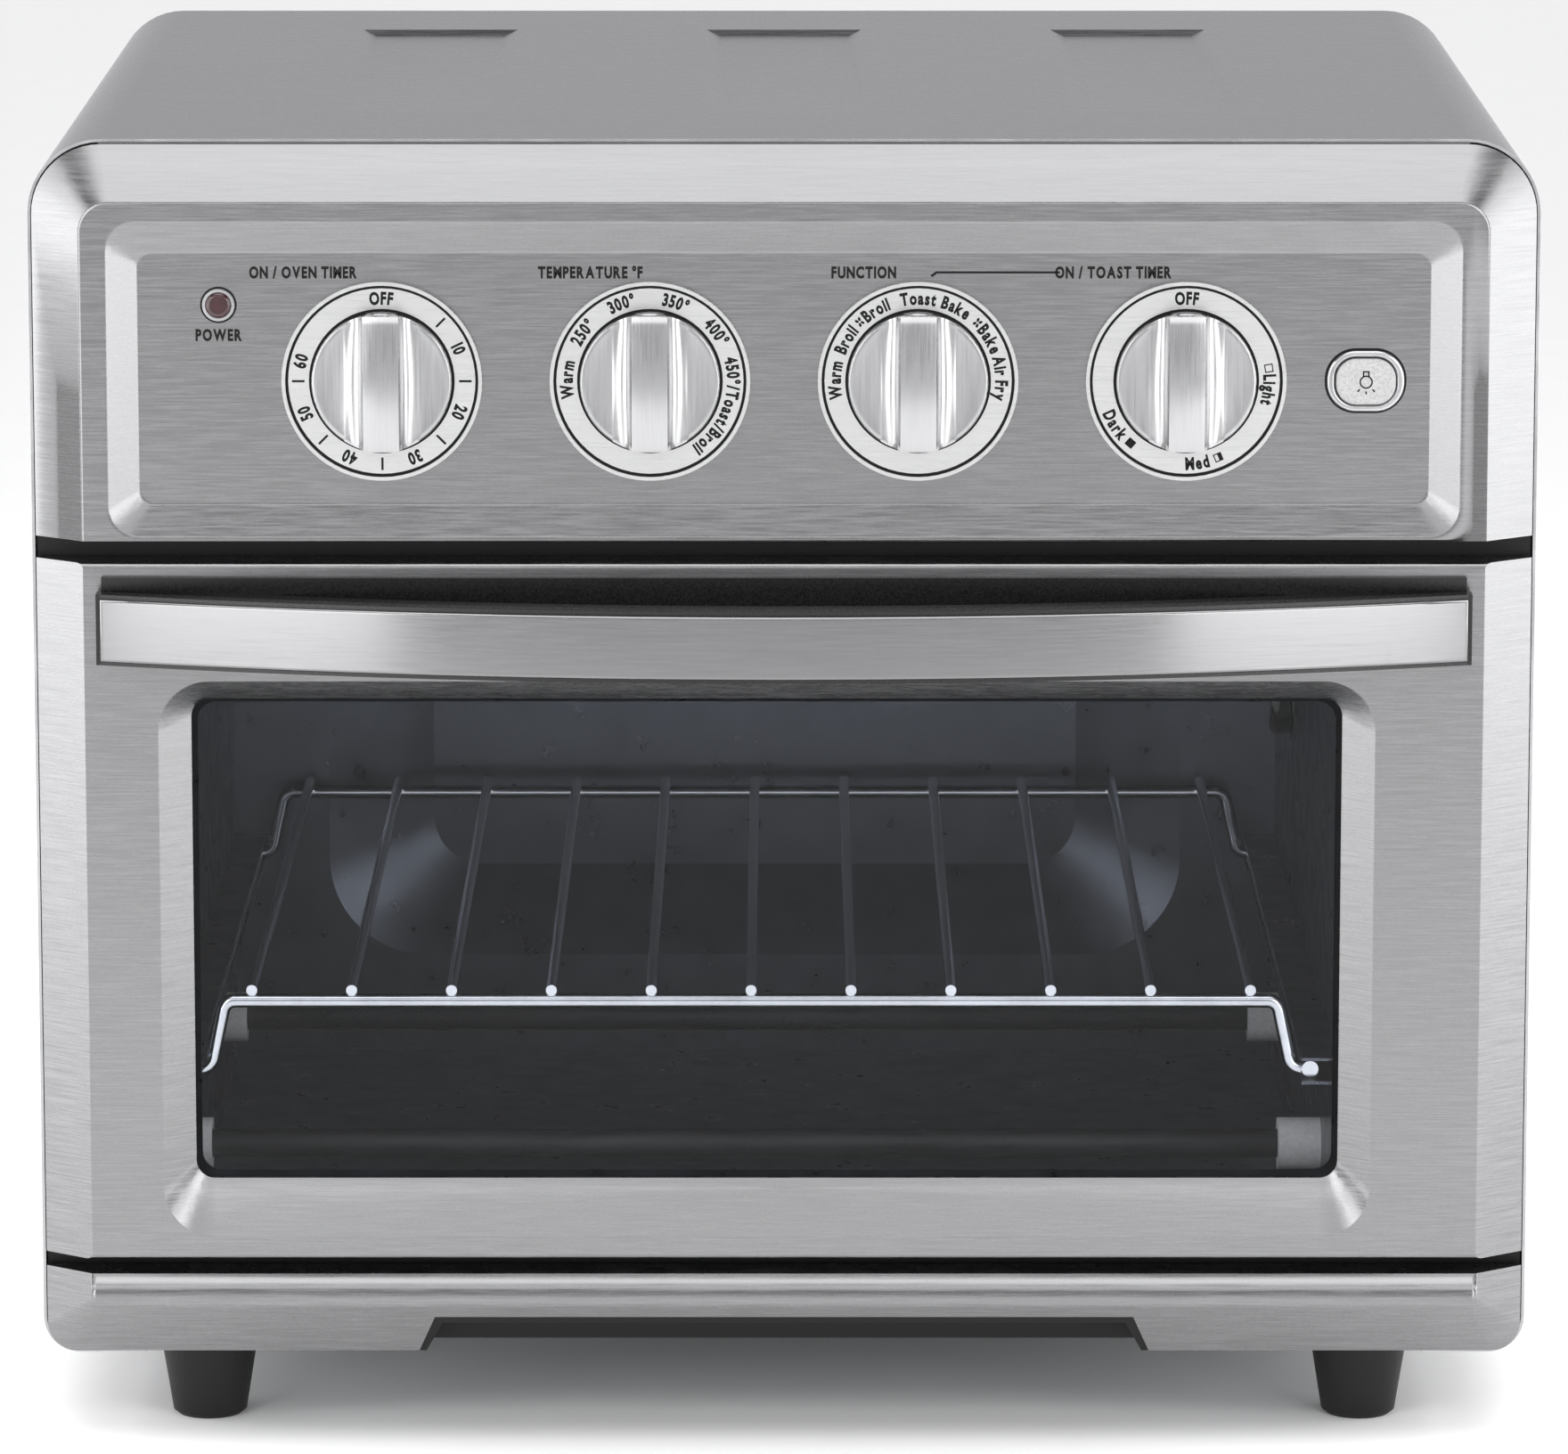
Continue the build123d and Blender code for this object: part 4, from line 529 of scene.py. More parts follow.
def ticks_tree():
    """Flat printed marks at even angles round a dial."""
    tree, source, output = new_tree("dial_ticks", [("Count", "Int"), *(
        (size, "Float") for size in ("Step", "Radius", "Length", "Width", "Depth")), ("Finish", "Material")])
    size = add_node(tree, "ShaderNodeCombineXYZ", {
        "X": source.outputs["Width"], "Y": source.outputs["Depth"], "Z": source.outputs["Length"]})
    mark = add_node(tree, "GeometryNodeMeshCube", {"Size": size.outputs[0]})
    reach = add_node(tree, "ShaderNodeCombineXYZ", {"Z": source.outputs["Radius"]})
    moved = add_node(tree, "GeometryNodeTransform", {
        "Geometry": mark.outputs[0], "Translation": reach.outputs[0]})
    centre = add_node(tree, "GeometryNodeMeshToPoints", {"Mesh": source.outputs["Geometry"]})
    many = add_node(tree, "GeometryNodeDuplicateElements", {
        "Geometry": centre.outputs[0], "Amount": source.outputs["Count"]}, domain="POINT")
    number = add_node(tree, "ShaderNodeMath", {0: many.outputs["Duplicate Index"]}, {1: 1}, operation="ADD")
    angle = add_node(tree, "ShaderNodeMath", {0: number.outputs[0], 1: source.outputs["Step"]},
                     operation="MULTIPLY")
    turn = add_node(tree, "ShaderNodeCombineXYZ", {"Y": angle.outputs[0]})
    spread = add_node(tree, "GeometryNodeInstanceOnPoints", {
        "Points": many.outputs["Geometry"], "Instance": moved.outputs[0], "Rotation": turn.outputs[0]})
    close_tree(tree, output, spread.outputs[0], source.outputs["Finish"])
    return tree


def screws_tree():
    """Cross-recessed pan-head screws: a head on each point, its shank behind, all turned one way."""
    tree, source, output = new_tree("recessed_screws", [*(
        (f"{part} {size}", "Float") for part, sizes in (
            ("Head", ("Radius", "Height")), ("Shank", ("Radius", "Length")), ("Recess", ("Length", "Width")))
        for size in sizes), ("Turn", "Vector"), ("Finish", "Material")])
    head = add_node(tree, "GeometryNodeMeshCylinder", {
        "Radius": source.outputs["Head Radius"], "Depth": source.outputs["Head Height"]}, {"Vertices": 40})
    recess_size = add_node(tree, "ShaderNodeCombineXYZ", {
        "X": source.outputs["Recess Length"], "Y": source.outputs["Recess Width"],
        "Z": source.outputs["Head Height"]})
    bar = add_node(tree, "GeometryNodeMeshCube", {"Size": recess_size.outputs[0]})
    lift = add_node(tree, "ShaderNodeMath", {0: source.outputs["Head Height"]}, {1: 0.4},
                    operation="MULTIPLY")
    raised = add_node(tree, "ShaderNodeCombineXYZ", {"Z": lift.outputs[0]})
    one = add_node(tree, "GeometryNodeTransform", {
        "Geometry": bar.outputs[0], "Translation": raised.outputs[0]})
    two = add_node(tree, "GeometryNodeTransform", {"Geometry": one.outputs[0]},
                   {"Rotation": (0, 0, math.pi / 2)})
    cut = add_node(tree, "GeometryNodeMeshBoolean", {"Mesh 1": head.outputs[0], "Mesh 2": one.outputs[0]},
                   operation="DIFFERENCE")
    tree.links.new(two.outputs[0], cut.inputs["Mesh 2"])
    shank = add_node(tree, "GeometryNodeMeshCylinder", {
        "Radius": source.outputs["Shank Radius"], "Depth": source.outputs["Shank Length"]}, {"Vertices": 20})
    total = add_node(tree, "ShaderNodeMath", {
        0: source.outputs["Head Height"], 1: source.outputs["Shank Length"]}, operation="ADD")
    behind = add_node(tree, "ShaderNodeMath", {0: total.outputs[0]}, {1: -0.5}, operation="MULTIPLY")
    back = add_node(tree, "ShaderNodeCombineXYZ", {"Z": behind.outputs[0]})
    lowered = add_node(tree, "GeometryNodeTransform", {
        "Geometry": shank.outputs[0], "Translation": back.outputs[0]})
    screw = add_node(tree, "GeometryNodeJoinGeometry", {"Geometry": cut.outputs[0]})
    tree.links.new(lowered.outputs[0], screw.inputs[0])
    spread = add_node(tree, "GeometryNodeInstanceOnPoints", {
        "Points": source.outputs["Geometry"], "Instance": screw.outputs[0],
        "Rotation": source.outputs["Turn"]})
    close_tree(tree, output, spread.outputs[0], source.outputs["Finish"])
    return tree


def loose_parts(node):
    """The lowest and highest corners of each separate part of a node."""
    bm = tidy_copy(node)
    left, parts = set(bm.verts), []
    while left:
        reached = [left.pop()]
        for vert in reached:
            for edge in vert.link_edges:
                other = edge.other_vert(vert)
                if other in left:
                    left.discard(other)
                    reached.append(other)
        parts.append([Vector([pick(v.co[axis] for v in reached) for axis in range(3)])
                      for pick in (min, max)])
    bm.free()
    return parts


# ------------------------------------------------------------------ settings
class OvenFinishes(bpy.types.PropertyGroup):
    # The front's stainless is a darker copy of the cover's same brushed stainless: painted shade on the
    # front, painted light on the top.
    stainless: hex_property("Stainless", "Brushed stainless front sheet", "#8C8C8D")
    cover: hex_property("Cover", "Brushed stainless cover", "#ACACAE")
    band: hex_property("Handle band", "Polished and brushed handle band", "#868687")
    knob: hex_property("Knobs", "Brushed knob caps", "#B4B4B5")
    dial_plate: hex_property("Dial plates", "Pale satin plates behind the knobs", "#D0D0D0")
    trim: hex_property("Trim", "Chrome rings of the lamp and the button", "#C4C4C6")
    wire: hex_property("Rack wire", "Plated rack wire", "#E2E4E6")
    lining: hex_property("Oven lining", "Aluminised steel inside the oven", "#5E6168")
    plated: hex_property("Plated steel", "Frames, brackets and the rear panel", "#A2A4A6")
    screw: hex_property("Screws", "Zinc-plated screws", "#9C9EA0")
    plastic: hex_property("Black plastic", "Handle bar and trim", "#121213")
    rubber: hex_property("Black rubber", "Feet", "#121212")
    button: hex_property("Button", "Light button", "#A9A9A9")
    phenolic: hex_property("Phenolic", "Switch bodies", "#4A382C")
    glass: hex_property("Door glass", "Tint of the door glass", "#E4E6EA")
    bulb: hex_property("Lamp glass", "Tint of the oven lamp", "#F2F2EE")
    lens: hex_property("Power lens", "Red power lamp lens", "#2E0610")
    ceramic: hex_property("Ceramic", "Heater end caps", "#F0EEE8")
    sheath: hex_property("Heater sheath", "Heater tubes", "#343536")
    brass: hex_property("Brass", "Thermostat probe", "#A08A58")
    ink: hex_property("Ink", "Printed lettering", "#0E0E0E")
    # Near black for the front frame and the tray's grip: painted shade in the gap above the door and in the
    # slot under the crumb tray's strip. The grip is black plastic as well.
    gap: hex_property("Painted frame", "Black paint of the front frame", "#0C0C0C")
    paper: hex_property("Floor", "Seamless paper under the oven", "#FAFAFA")


class OvenLettering(bpy.types.PropertyGroup):
    letter_size: size_property("Letter size", "Body size of the dials' lettering", 4.6)
    ink_depth: size_property("Ink depth", "Thickness of the printed ink", 0.06)
    tick_length: size_property("Tick length", "Length of the timer's marks", 3.4)
    tick_width: size_property("Tick width", "Width of the timer's marks", 0.6)
    text_radius: size_property("Text radius", "Dial axis to the middle of its lettering", 22.4)
    # Painted shade: the dark ring in the groove at the foot of each dial's rim. This width also serves the
    # knob's shadow line.
    groove: size_property("Groove", "Width of the dark groove inside a dial's rim", 0.8)
    heading_height: size_property("Heading height", "Headings' baseline above the counter", 322.1)
    lamp_drop: size_property("Lamp word", "Baseline of the lamp's word under the lamp", 9.6)
    # Painted shade: the lamp's and the button's dark lines, this wide, stand in for the shade in the gaps
    # round the lamp's ring and the button's trim.
    lamp_shade_line: size_property("Lamp outline", "Inner radius of the dark line round the lamp", 4.4)
    button_shade_corner: size_property("Button corner", "Corner radius of the dark line round the button", 7.8)
    outline: size_property("Outline", "Width of those dark lines", 0.5)
    rim_height: size_property("Rim height", "Dial plates' face behind their raised rims", 0.8)
    rim_inside: size_property("Rim inside", "Inner radius of those rims", 25.9)
    # Painted shadow: the dark line round a knob stands in for the shade in the gap just round its edge.
    knob_shadow_line: size_property("Knob line", "Inner radius of the dark line round a knob", 18.75)
    icon_globe: size_property("Icon globe", "Radius of the bulb in the light button's icon", 1.4)
    square: size_property("Toast square", "Half the side of the toast timer's squares", 1.15)
    square_line: size_property("Square line", "Line width of those squares", 0.3)
    icon_line: size_property("Icon line", "Line width of the light button's icon", 0.38)
    condense: bpy.props.FloatProperty(
        name="Condense", description="Width of the letters beside their usual width", default=0.72,
        min=0.3, max=1.5, subtype="FACTOR")
    heading_scale: bpy.props.FloatProperty(
        name="Heading scale", description="Size of the headings beside the dials' lettering", default=0.92,
        min=0.3, max=2, subtype="FACTOR")


class OvenKnobs(bpy.types.PropertyGroup):
    edge_round: size_property("Edge round", "Radius along the knobs' edges", 0.5)
    grip_round: size_property("Grip round", "Radius along the grip's edges", 0.35)
    flank_sag: size_property("Flank hollow", "Hollow of the grip's sides", 1.7)
    grip_width: size_property("Grip width", "Flat top of the grip", 9.6)
    grip_base: size_property("Grip base", "Foot of the grip's hollow sides", 20.0)
    grip_length: size_property("Grip length", "Grip from end to end", 36.6)
    grip_height: size_property("Grip height", "Grip above the disc", 5.5)
    grip_crown: size_property("Grip crown", "Rise of the grip's middle above its ends", 1.8)


class OvenPressing(bpy.types.PropertyGroup):
    crease: size_property("Crease", "How far pressed creases are rounded", 0.9)
    rim: size_property("Cover rim", "Rounding of the cover's front edge", 0.5)
    trim_round: size_property("Button trim", "Rounding of the light button's trim", 0.7)
    band_round: size_property("Band edge", "Rounded edges of the handle band", 0.8)
    lip: size_property("Handle lip", "Black lip that shows round the handle band", 1.1)
    lip_setback: size_property("Lip setback", "Lip behind the band's face", 1.4)
    lip_back: size_property("Lip back", "Back of the lip behind the band's face", 7.0)
    band_bow: size_property("Band bow", "Band's middle in front of its ends", 28.6)
    flange_thickness: size_property("Flange thickness", "Fascia's turned-in edge under the cover", 0.8)
    flange_depth: size_property("Flange depth", "Reach of that edge under the cover", 6.0)
    flange_rise: size_property("Flange rise", "That edge above the fascia's top", 0.3)
    flange_inset: size_property("Flange inset", "That edge's ends inside the fascia's sides", 18.0)


class OvenScrews(bpy.types.PropertyGroup):
    head_radius: size_property("Head radius", "Screw head", 4.0)
    head_height: size_property("Head height", "Screw head", 2.4)
    shank_radius: size_property("Shank radius", "Screw shank", 2.0)
    shank_length: size_property("Shank length", "Shank drawn behind the head", 3.0)
    recess_length: size_property("Recess length", "Across the cross recess", 4.6)
    recess_width: size_property("Recess width", "Each slot of the cross recess", 1.0)


class OvenStudio(bpy.types.PropertyGroup):
    distance: bpy.props.FloatProperty(
        name="Camera distance", description="Camera in front of the origin", default=2.5376, unit="LENGTH")
    height: bpy.props.FloatProperty(
        name="Camera height", description="Camera above the counter", default=0.6362, unit="LENGTH")
    tilt: bpy.props.FloatProperty(
        name="Tilt", description="Camera's tilt down from level", default=math.radians(10.391),
        unit="ROTATION")
    air: bpy.props.FloatProperty(name="Air", description="Strength of the studio's air", default=1.2, min=0)
    overhead: bpy.props.FloatProperty(
        name="Overhead", description="Strength of the overhead diffuser", default=1.05, min=0)
    overhead_spread: bpy.props.FloatProperty(
        name="Overhead spread", description="Angle that the overhead diffuser fills",
        default=math.radians(50), unit="ROTATION")
    overhead_lean: bpy.props.FloatProperty(
        name="Overhead lean", description="How far the overhead diffuser leans to the front",
        default=math.radians(12), unit="ROTATION")
    lens: bpy.props.FloatProperty(
        name="Lens", description="Focal length in millimetres on a 36 mm sensor", default=205.6, min=1)


# ------------------------------------------------------------------ pieces
class OVEN_OT_casing(bpy.types.Operator):
    """Finishes the cover, its base and the rear panel"""
    bl_idname = "toaster_oven.casing"
    bl_label = "Casing"

    def execute(self, context):
        softened("outer_cover", "outer_cover_sheet", "stainless_cover", context.scene.oven_pressing.rim,
                 "oven", front_rim)
        dress(["rear_panel"], "rear")
        dress(["base_plate", "control_bracket", "motor_bracket", "door_hinge_brackets",
               "hinge_blocks", "door_stay_arms"], "frame")
        # The front frame is near black as painted shade: it makes the gap between the fascia and the door
        # read dark.
        dress(["front_frame"], "painted")
        dress(["rear_spacers", "cord_gland"], "plastic")
        dress(["feet"], "rubber")
        return {"FINISHED"}


class OVEN_OT_screws(bpy.types.Operator):
    """Makes the cross-recessed screws of the rear panel and the feet"""
    bl_idname = "toaster_oven.screws"
    bl_label = "Screws"

    def execute(self, context):
        style = context.scene.oven_screws
        tree = screws_tree()
        sizes = {"Head Radius": style.head_radius, "Head Height": style.head_height,
                 "Shank Radius": style.shank_radius, "Shank Length": style.shank_length,
                 "Recess Length": style.recess_length, "Recess Width": style.recess_width}
        half = style.head_height / 2
        backward = [((low.x + high.x) / 2, high.y - half, (low.z + high.z) / 2)
                    for low, high in loose_parts("cover_screws")]
        downward = [((low.x + high.x) / 2, (low.y + high.y) / 2, low.z + half)
                    for low, high in loose_parts("foot_screws")]
        for node, points, turn in (("cover_screws", backward, (-math.pi / 2, 0, 0)),
                                   ("foot_screws", downward, (math.pi, 0, 0))):
            piece = grown(f"recessed_{node}", points, tree, {**sizes, "Turn": turn}, finish("screw"))
            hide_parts(node)
            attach(piece, "oven")
        return {"FINISHED"}


# Each heading's dial, and how far its middle stands from the dial's axis, in mm.
HEADINGS = (("ON / OVEN TIMER", "oven_timer", -20.9), ("TEMPERATURE °F", "temperature", -15.9),
            ("FUNCTION", "function", -14.6), ("ON / TOAST TIMER", "toast_timer", -19.7))
# The thin line from the function dial to the toast timer's heading, from that dial's axis, in mm.
HEADING_LINE = ((3.2, 0.6), (4.7, 1.75), (37.9, 1.75), (37.9, 1.15), (5.0, 1.15), (3.8, 0.2))


class OVEN_OT_control_panel(bpy.types.Operator):
    """Presses the control fascia, prints its headings, and paints shade lines in the gaps round the lamp and
    the button
    """
    bl_idname = "toaster_oven.control_panel"
    bl_label = "Control Panel"

    def execute(self, context):
        crease = context.scene.oven_pressing.crease
        softened("control_fascia", "control_fascia_sheet", "stainless", crease, "oven")
        self.make_flange(context.scene.oven_pressing)
        style = context.scene.oven_lettering
        panel_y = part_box("dial_rings")[1].y
        text_y = panel_y - style.ink_depth / 2
        text = bmesh.new()
        for words, dial, shift in HEADINGS:
            x = middle_of(f"{dial}_shaft")[0] + shift * MM
            straight_text(text, words, x, style.heading_height, text_y, style, style.heading_scale)
        lamp = middle_of("power_lamp_lens")
        straight_text(text, "POWER", lamp[0], lamp[1] - style.lamp_drop, text_y, style, style.heading_scale)
        from_x = middle_of("function_shaft")[0]
        link = [(from_x + x * MM, style.heading_height + z * MM) for x, z in HEADING_LINE]
        shapes = [text, prism(link, panel_y - style.ink_depth, panel_y)]
        # Painted shade: dark ink lines in the gaps round the power lamp's ring and the light button's trim.
        low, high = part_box("light_button_bezel")
        shapes.append(ring(lamp, (2 * style.lamp_shade_line,) * 2, style.lamp_shade_line, style.outline,
                           panel_y, style.ink_depth))
        shapes.append(ring(middle_of("light_button_bezel"), (high.x - low.x, high.z - low.z),
                           style.button_shade_corner, style.outline * 1.1, panel_y, style.ink_depth))
        printed("panel_headings_and_shade_lines", shapes, "oven")
        return {"FINISHED"}

    def make_flange(self, style):
        """The fascia's turned-in edge under the cover, which shuts the seam."""
        low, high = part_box("control_fascia")
        half, top = high.x - style.flange_inset, high.z + style.flange_rise
        bottom = top - style.flange_thickness
        shape = prism([(-half, bottom), (half, bottom), (half, top), (-half, top)],
                      high.y - style.flange_thickness, high.y + style.flange_depth)
        name = "control_fascia_flange"
        flange = object_from(name, mesh_from(shape, name), finish("stainless"))
        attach(flange, "oven")


def rounded_loop(centre, size, corner, segments=16):
    """The points of a rounded rectangle about a centre."""
    points = []
    for quarter, (sx, sz) in enumerate(((1, 1), (-1, 1), (-1, -1), (1, -1))):
        for step in range(segments):
            turn = math.pi / 2 * (quarter + step / (segments - 1))
            points.append((centre[0] + sx * (size[0] / 2 - corner) + corner * math.cos(turn),
                           centre[1] + sz * (size[1] / 2 - corner) + corner * math.sin(turn)))
    return points


def ring(centre, size, corner, line, y, depth):
    """A bmesh of a flat line round a rounded rectangle, standing depth in front of y."""
    bm = bmesh.new()
    inner = rounded_loop(centre, size, corner)
    outer = rounded_loop(centre, (size[0] + 2 * line, size[1] + 2 * line), corner + line)
    loops = [[bm.verts.new((x, place, z)) for x, z in points]
             for points, place in ((inner, y), (outer, y), (outer, y - depth), (inner, y - depth))]
    for a in range(4):
        one, two = loops[a], loops[(a + 1) % 4]
        for b in range(len(inner)):
            c = (b + 1) % len(inner)
            bm.faces.new((one[b], one[c], two[c], two[b]))
    bmesh.ops.remove_doubles(bm, verts=bm.verts, dist=WELD)
    return bm


class OVEN_OT_dials(bpy.types.Operator):
    """Finishes the dial plates, prints their lettering and marks, and paints shade rings in each groove and
    round each knob
    """
    bl_idname = "toaster_oven.dials"
    bl_label = "Dials"

    def execute(self, context):
        dress(["dial_rings"], "dial_plate")
        style = context.scene.oven_lettering
        radius = style.text_radius
        plate_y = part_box("dial_rings")[0].y + style.rim_height
        for dial in DIALS:
            text = bmesh.new()
            centre = middle_of(f"{dial}_shaft")
            for words, degrees, inward in DIAL_WORDS[dial]:
                arc_text(text, words, centre, radius, degrees, plate_y - style.ink_depth / 2, style, inward)
            shapes = [text]
            # Painted shade: a dark ink ring in the groove at the foot of the rim, and one in the gap just
            # round the knob's edge.
            for inner in (style.rim_inside - style.groove, style.knob_shadow_line):
                shapes.append(ring(centre, (2 * inner,) * 2, inner, style.groove, plate_y, style.ink_depth))
            if dial == "toast_timer":
                shapes += self.toast_marks(centre, radius, plate_y, style)
            printed(f"{dial}_lettering", shapes, "oven")
        centre = middle_of("oven_timer_shaft")
        point = (centre[0], plate_y - style.ink_depth / 2, centre[1])
        ticks = grown("oven_timer_ticks", [point], ticks_tree(), {
            "Count": 6, "Step": math.radians(45), "Radius": radius, "Length": style.tick_length,
            "Width": style.tick_width, "Depth": style.ink_depth}, finish("ink"))
        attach(ticks, "oven")
        return {"FINISHED"}

    def toast_marks(self, centre, radius, y, style):
        """The empty, half and filled squares that stand for light, medium and dark toast."""
        shapes = []
        half, wall = style.square, style.square_line
        for degrees, fill in ((81, 0.0), (157, 0.5), (221.5, 1.0)):
            turn = math.radians(degrees)
            bars = [(-half, half, -half, -half + wall), (-half, half, half - wall, half),
                    (-half, -half + wall, -half + wall, half - wall),
                    (half - wall, half, -half + wall, half - wall)]
            if fill > 0:
                bars.append((-half + wall, -half + 2 * half * fill, -half + wall, half - wall))
            place = Matrix.Translation((
                centre[0] + radius * math.sin(turn), 0, centre[1] + radius * math.cos(turn)))
            for x0, x1, z0, z1 in bars:
                bar = prism([(x0, z0), (x1, z0), (x1, z1), (x0, z1)], y - style.ink_depth, y)
                bmesh.ops.transform(bar, matrix=place @ Matrix.Rotation(turn, 4, "Y"), verts=bar.verts)
                shapes.append(bar)
        return shapes


DIAL_WORDS = {
    "oven_timer": [("OFF", 0, False), ("10", 67, False), ("20", 112, False), ("30", 157, False),
                   ("40", 203, False), ("50", 247, False), ("60", 284, False)],
    "temperature": [("Warm", 271, False), ("250°", 306, False), ("300°", 340, False), ("350°", 18, False),
                    ("400°", 53, False), ("450°/Toast/Broil", 110, False)],
    "function": [("Warm", 270.5, False), ("Broil", 300, False), ("*Broil", 326, False), ("Toast", 0, False),
                 ("Bake", 27, False), ("*Bake", 56, False), ("Air Fry", 88, False)],
    "toast_timer": [("OFF", 0, False), ("Light", 96, False), ("Med", 172, True), ("Dark", 238, True)],
}


def grip_bar(centre, back, front, disc_y, style):
    """A bmesh of the bar across a knob: hollow sides, and a face that crowns a little from end to end."""
    bm = bmesh.new()
    half_top, half_base, half_length = style.grip_width / 2, style.grip_base / 2, style.grip_length / 2
    steps, stations = 12, 17
    rows = []
    for station in range(stations):
        share = 2 * station / (stations - 1) - 1
        top = front + style.grip_crown * share * share
        run, rise = half_base - half_top, disc_y - top
        chord = math.hypot(run, rise)
        flank = []
        for step in range(steps + 1):
            climb = step / steps
            sag = 4 * style.flank_sag * climb * (1 - climb)
            flank.append((half_base - run * climb - sag * rise / chord,
                          disc_y - rise * climb + sag * run / chord))
        outline = flank + [(-x, y) for x, y in reversed(flank)] + [(-half_base, back), (half_base, back)]
        rows.append([bm.verts.new((centre[0] + x, y, centre[1] + share * half_length)) for x, y in outline])
    for one, two in zip(rows, rows[1:]):
        for a in range(len(one)):
            b = (a + 1) % len(one)
            bm.faces.new((one[a], two[a], two[b], one[b]))
    bm.faces.new(rows[0])
    bm.faces.new(list(reversed(rows[-1])))
    return bm


def knob_cap(dial, style):
    """A knob cap: a round disc with its grip bar, cut round where the bar meets the disc's edge."""
    low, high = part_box(f"{dial}_knob")
    centre = middle_of(f"{dial}_knob")
    radius = (high.z - low.z) / 2
    back, front = high.y, low.y
    disc_y = front + style.grip_height
    edge = style.edge_round
    disc = [(0, back), (radius - edge, back), (radius, back - edge), (radius, disc_y + 2 * edge)]
    disc += [(radius - edge * (1 - math.cos(t)), disc_y + 2 * edge - 2 * edge * math.sin(t))
             for t in (math.radians(a) for a in (22, 45, 67, 90))]
    disc += [(radius - 3 * edge, disc_y + 0.25 * edge), (0, disc_y + 0.25 * edge)]
    piece = object_from(f"{dial}_knob_cap", mesh_from(turned(disc, centre), "disc"), finish("knob_metal"))
    grip = object_from("grip", mesh_from(grip_bar(centre, back, front, disc_y, style), "grip"),
                       finish("knob_metal"))
    rear, fore = back + MM, front - MM  # the cutter clears the grip at both ends
    cutter = turned([(0, rear), (radius, rear), (radius, fore), (0, fore)], centre)
    limit = object_from("limit", mesh_from(cutter, "limit"), finish("knob_metal"))
    for target, tool, how in ((grip, limit, "INTERSECT"), (piece, grip, "UNION")):
        join = target.modifiers.new("join", "BOOLEAN")
        join.operation, join.solver, join.object = how, "EXACT", tool
        settle(target)
        bpy.data.objects.remove(tool)
    soften = piece.modifiers.new("soften", "BEVEL")
    soften.width, soften.segments, soften.angle_limit = style.grip_round, 3, math.radians(40)
    soften.limit_method = "ANGLE"
    settle(piece)
    shade(piece.data, 45)
    return piece


class OVEN_OT_knobs(bpy.types.Operator):
    """Makes the four knob caps"""
    bl_idname = "toaster_oven.knobs"
    bl_label = "Knobs"

    def execute(self, context):
        for dial in DIALS:
            piece = knob_cap(dial, context.scene.oven_knobs)
            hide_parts(f"{dial}_knob")
            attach(piece, f"{dial}_dial")
        dress([f"{dial}_shaft" for dial in DIALS], "frame")
        return {"FINISHED"}


class OVEN_OT_lamp_and_button(bpy.types.Operator):
    """Finishes the power lamp and the light button, and prints the button's lamp icon"""
    bl_idname = "toaster_oven.lamp_and_button"
    bl_label = "Power Lamp and Light Button"

    def execute(self, context):
        dress(["power_lamp_lens"], "lens")
        dress(["power_lamp_ring"], "trim")
        dress(["light_button"], "button")
        softened("light_button_bezel", "light_button_trim", "trim", context.scene.oven_pressing.trim_round,
                 "oven", front_rim)
        style = context.scene.oven_lettering
        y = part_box("light_button")[0].y
        x, z = middle_of("light_button")
        line, depth = style.icon_line, style.ink_depth
        globe = style.icon_globe
        strokes = [((-0.7, 1.3), (-0.7, 2.8)), ((0.7, 1.3), (0.7, 2.8)), ((-0.9, 2.8), (0.9, 2.8)),
                   ((0, -2.5), (0, -3.3)), ((-1.7, -2.0), (-2.3, -2.6)), ((1.7, -2.0), (2.3, -2.6))]
        shapes = [ring((x, z), (2 * globe,) * 2, globe, line, y, depth)]
        for start, end in strokes:
            ends = [(x + a * MM, z + b * MM) for a, b in (start, end)]
            shapes.append(prism(stroke(*ends, line), y - depth, y))
        printed("light_button_icon", shapes, "light_push")
        return {"FINISHED"}


class OVEN_OT_door(bpy.types.Operator):
    """Presses the door panel and finishes its glass and hinges"""
    bl_idname = "toaster_oven.door"
    bl_label = "Door"

    def execute(self, context):
        crease = context.scene.oven_pressing.crease
        softened("door_panel", "door_panel_sheet", "stainless", crease, "door")
        dress(["door_glass"], "glass")
        dress(["glass_retainer"], "lining")
        dress(["door_hinge_pins"], "screw")
        return {"FINISHED"}


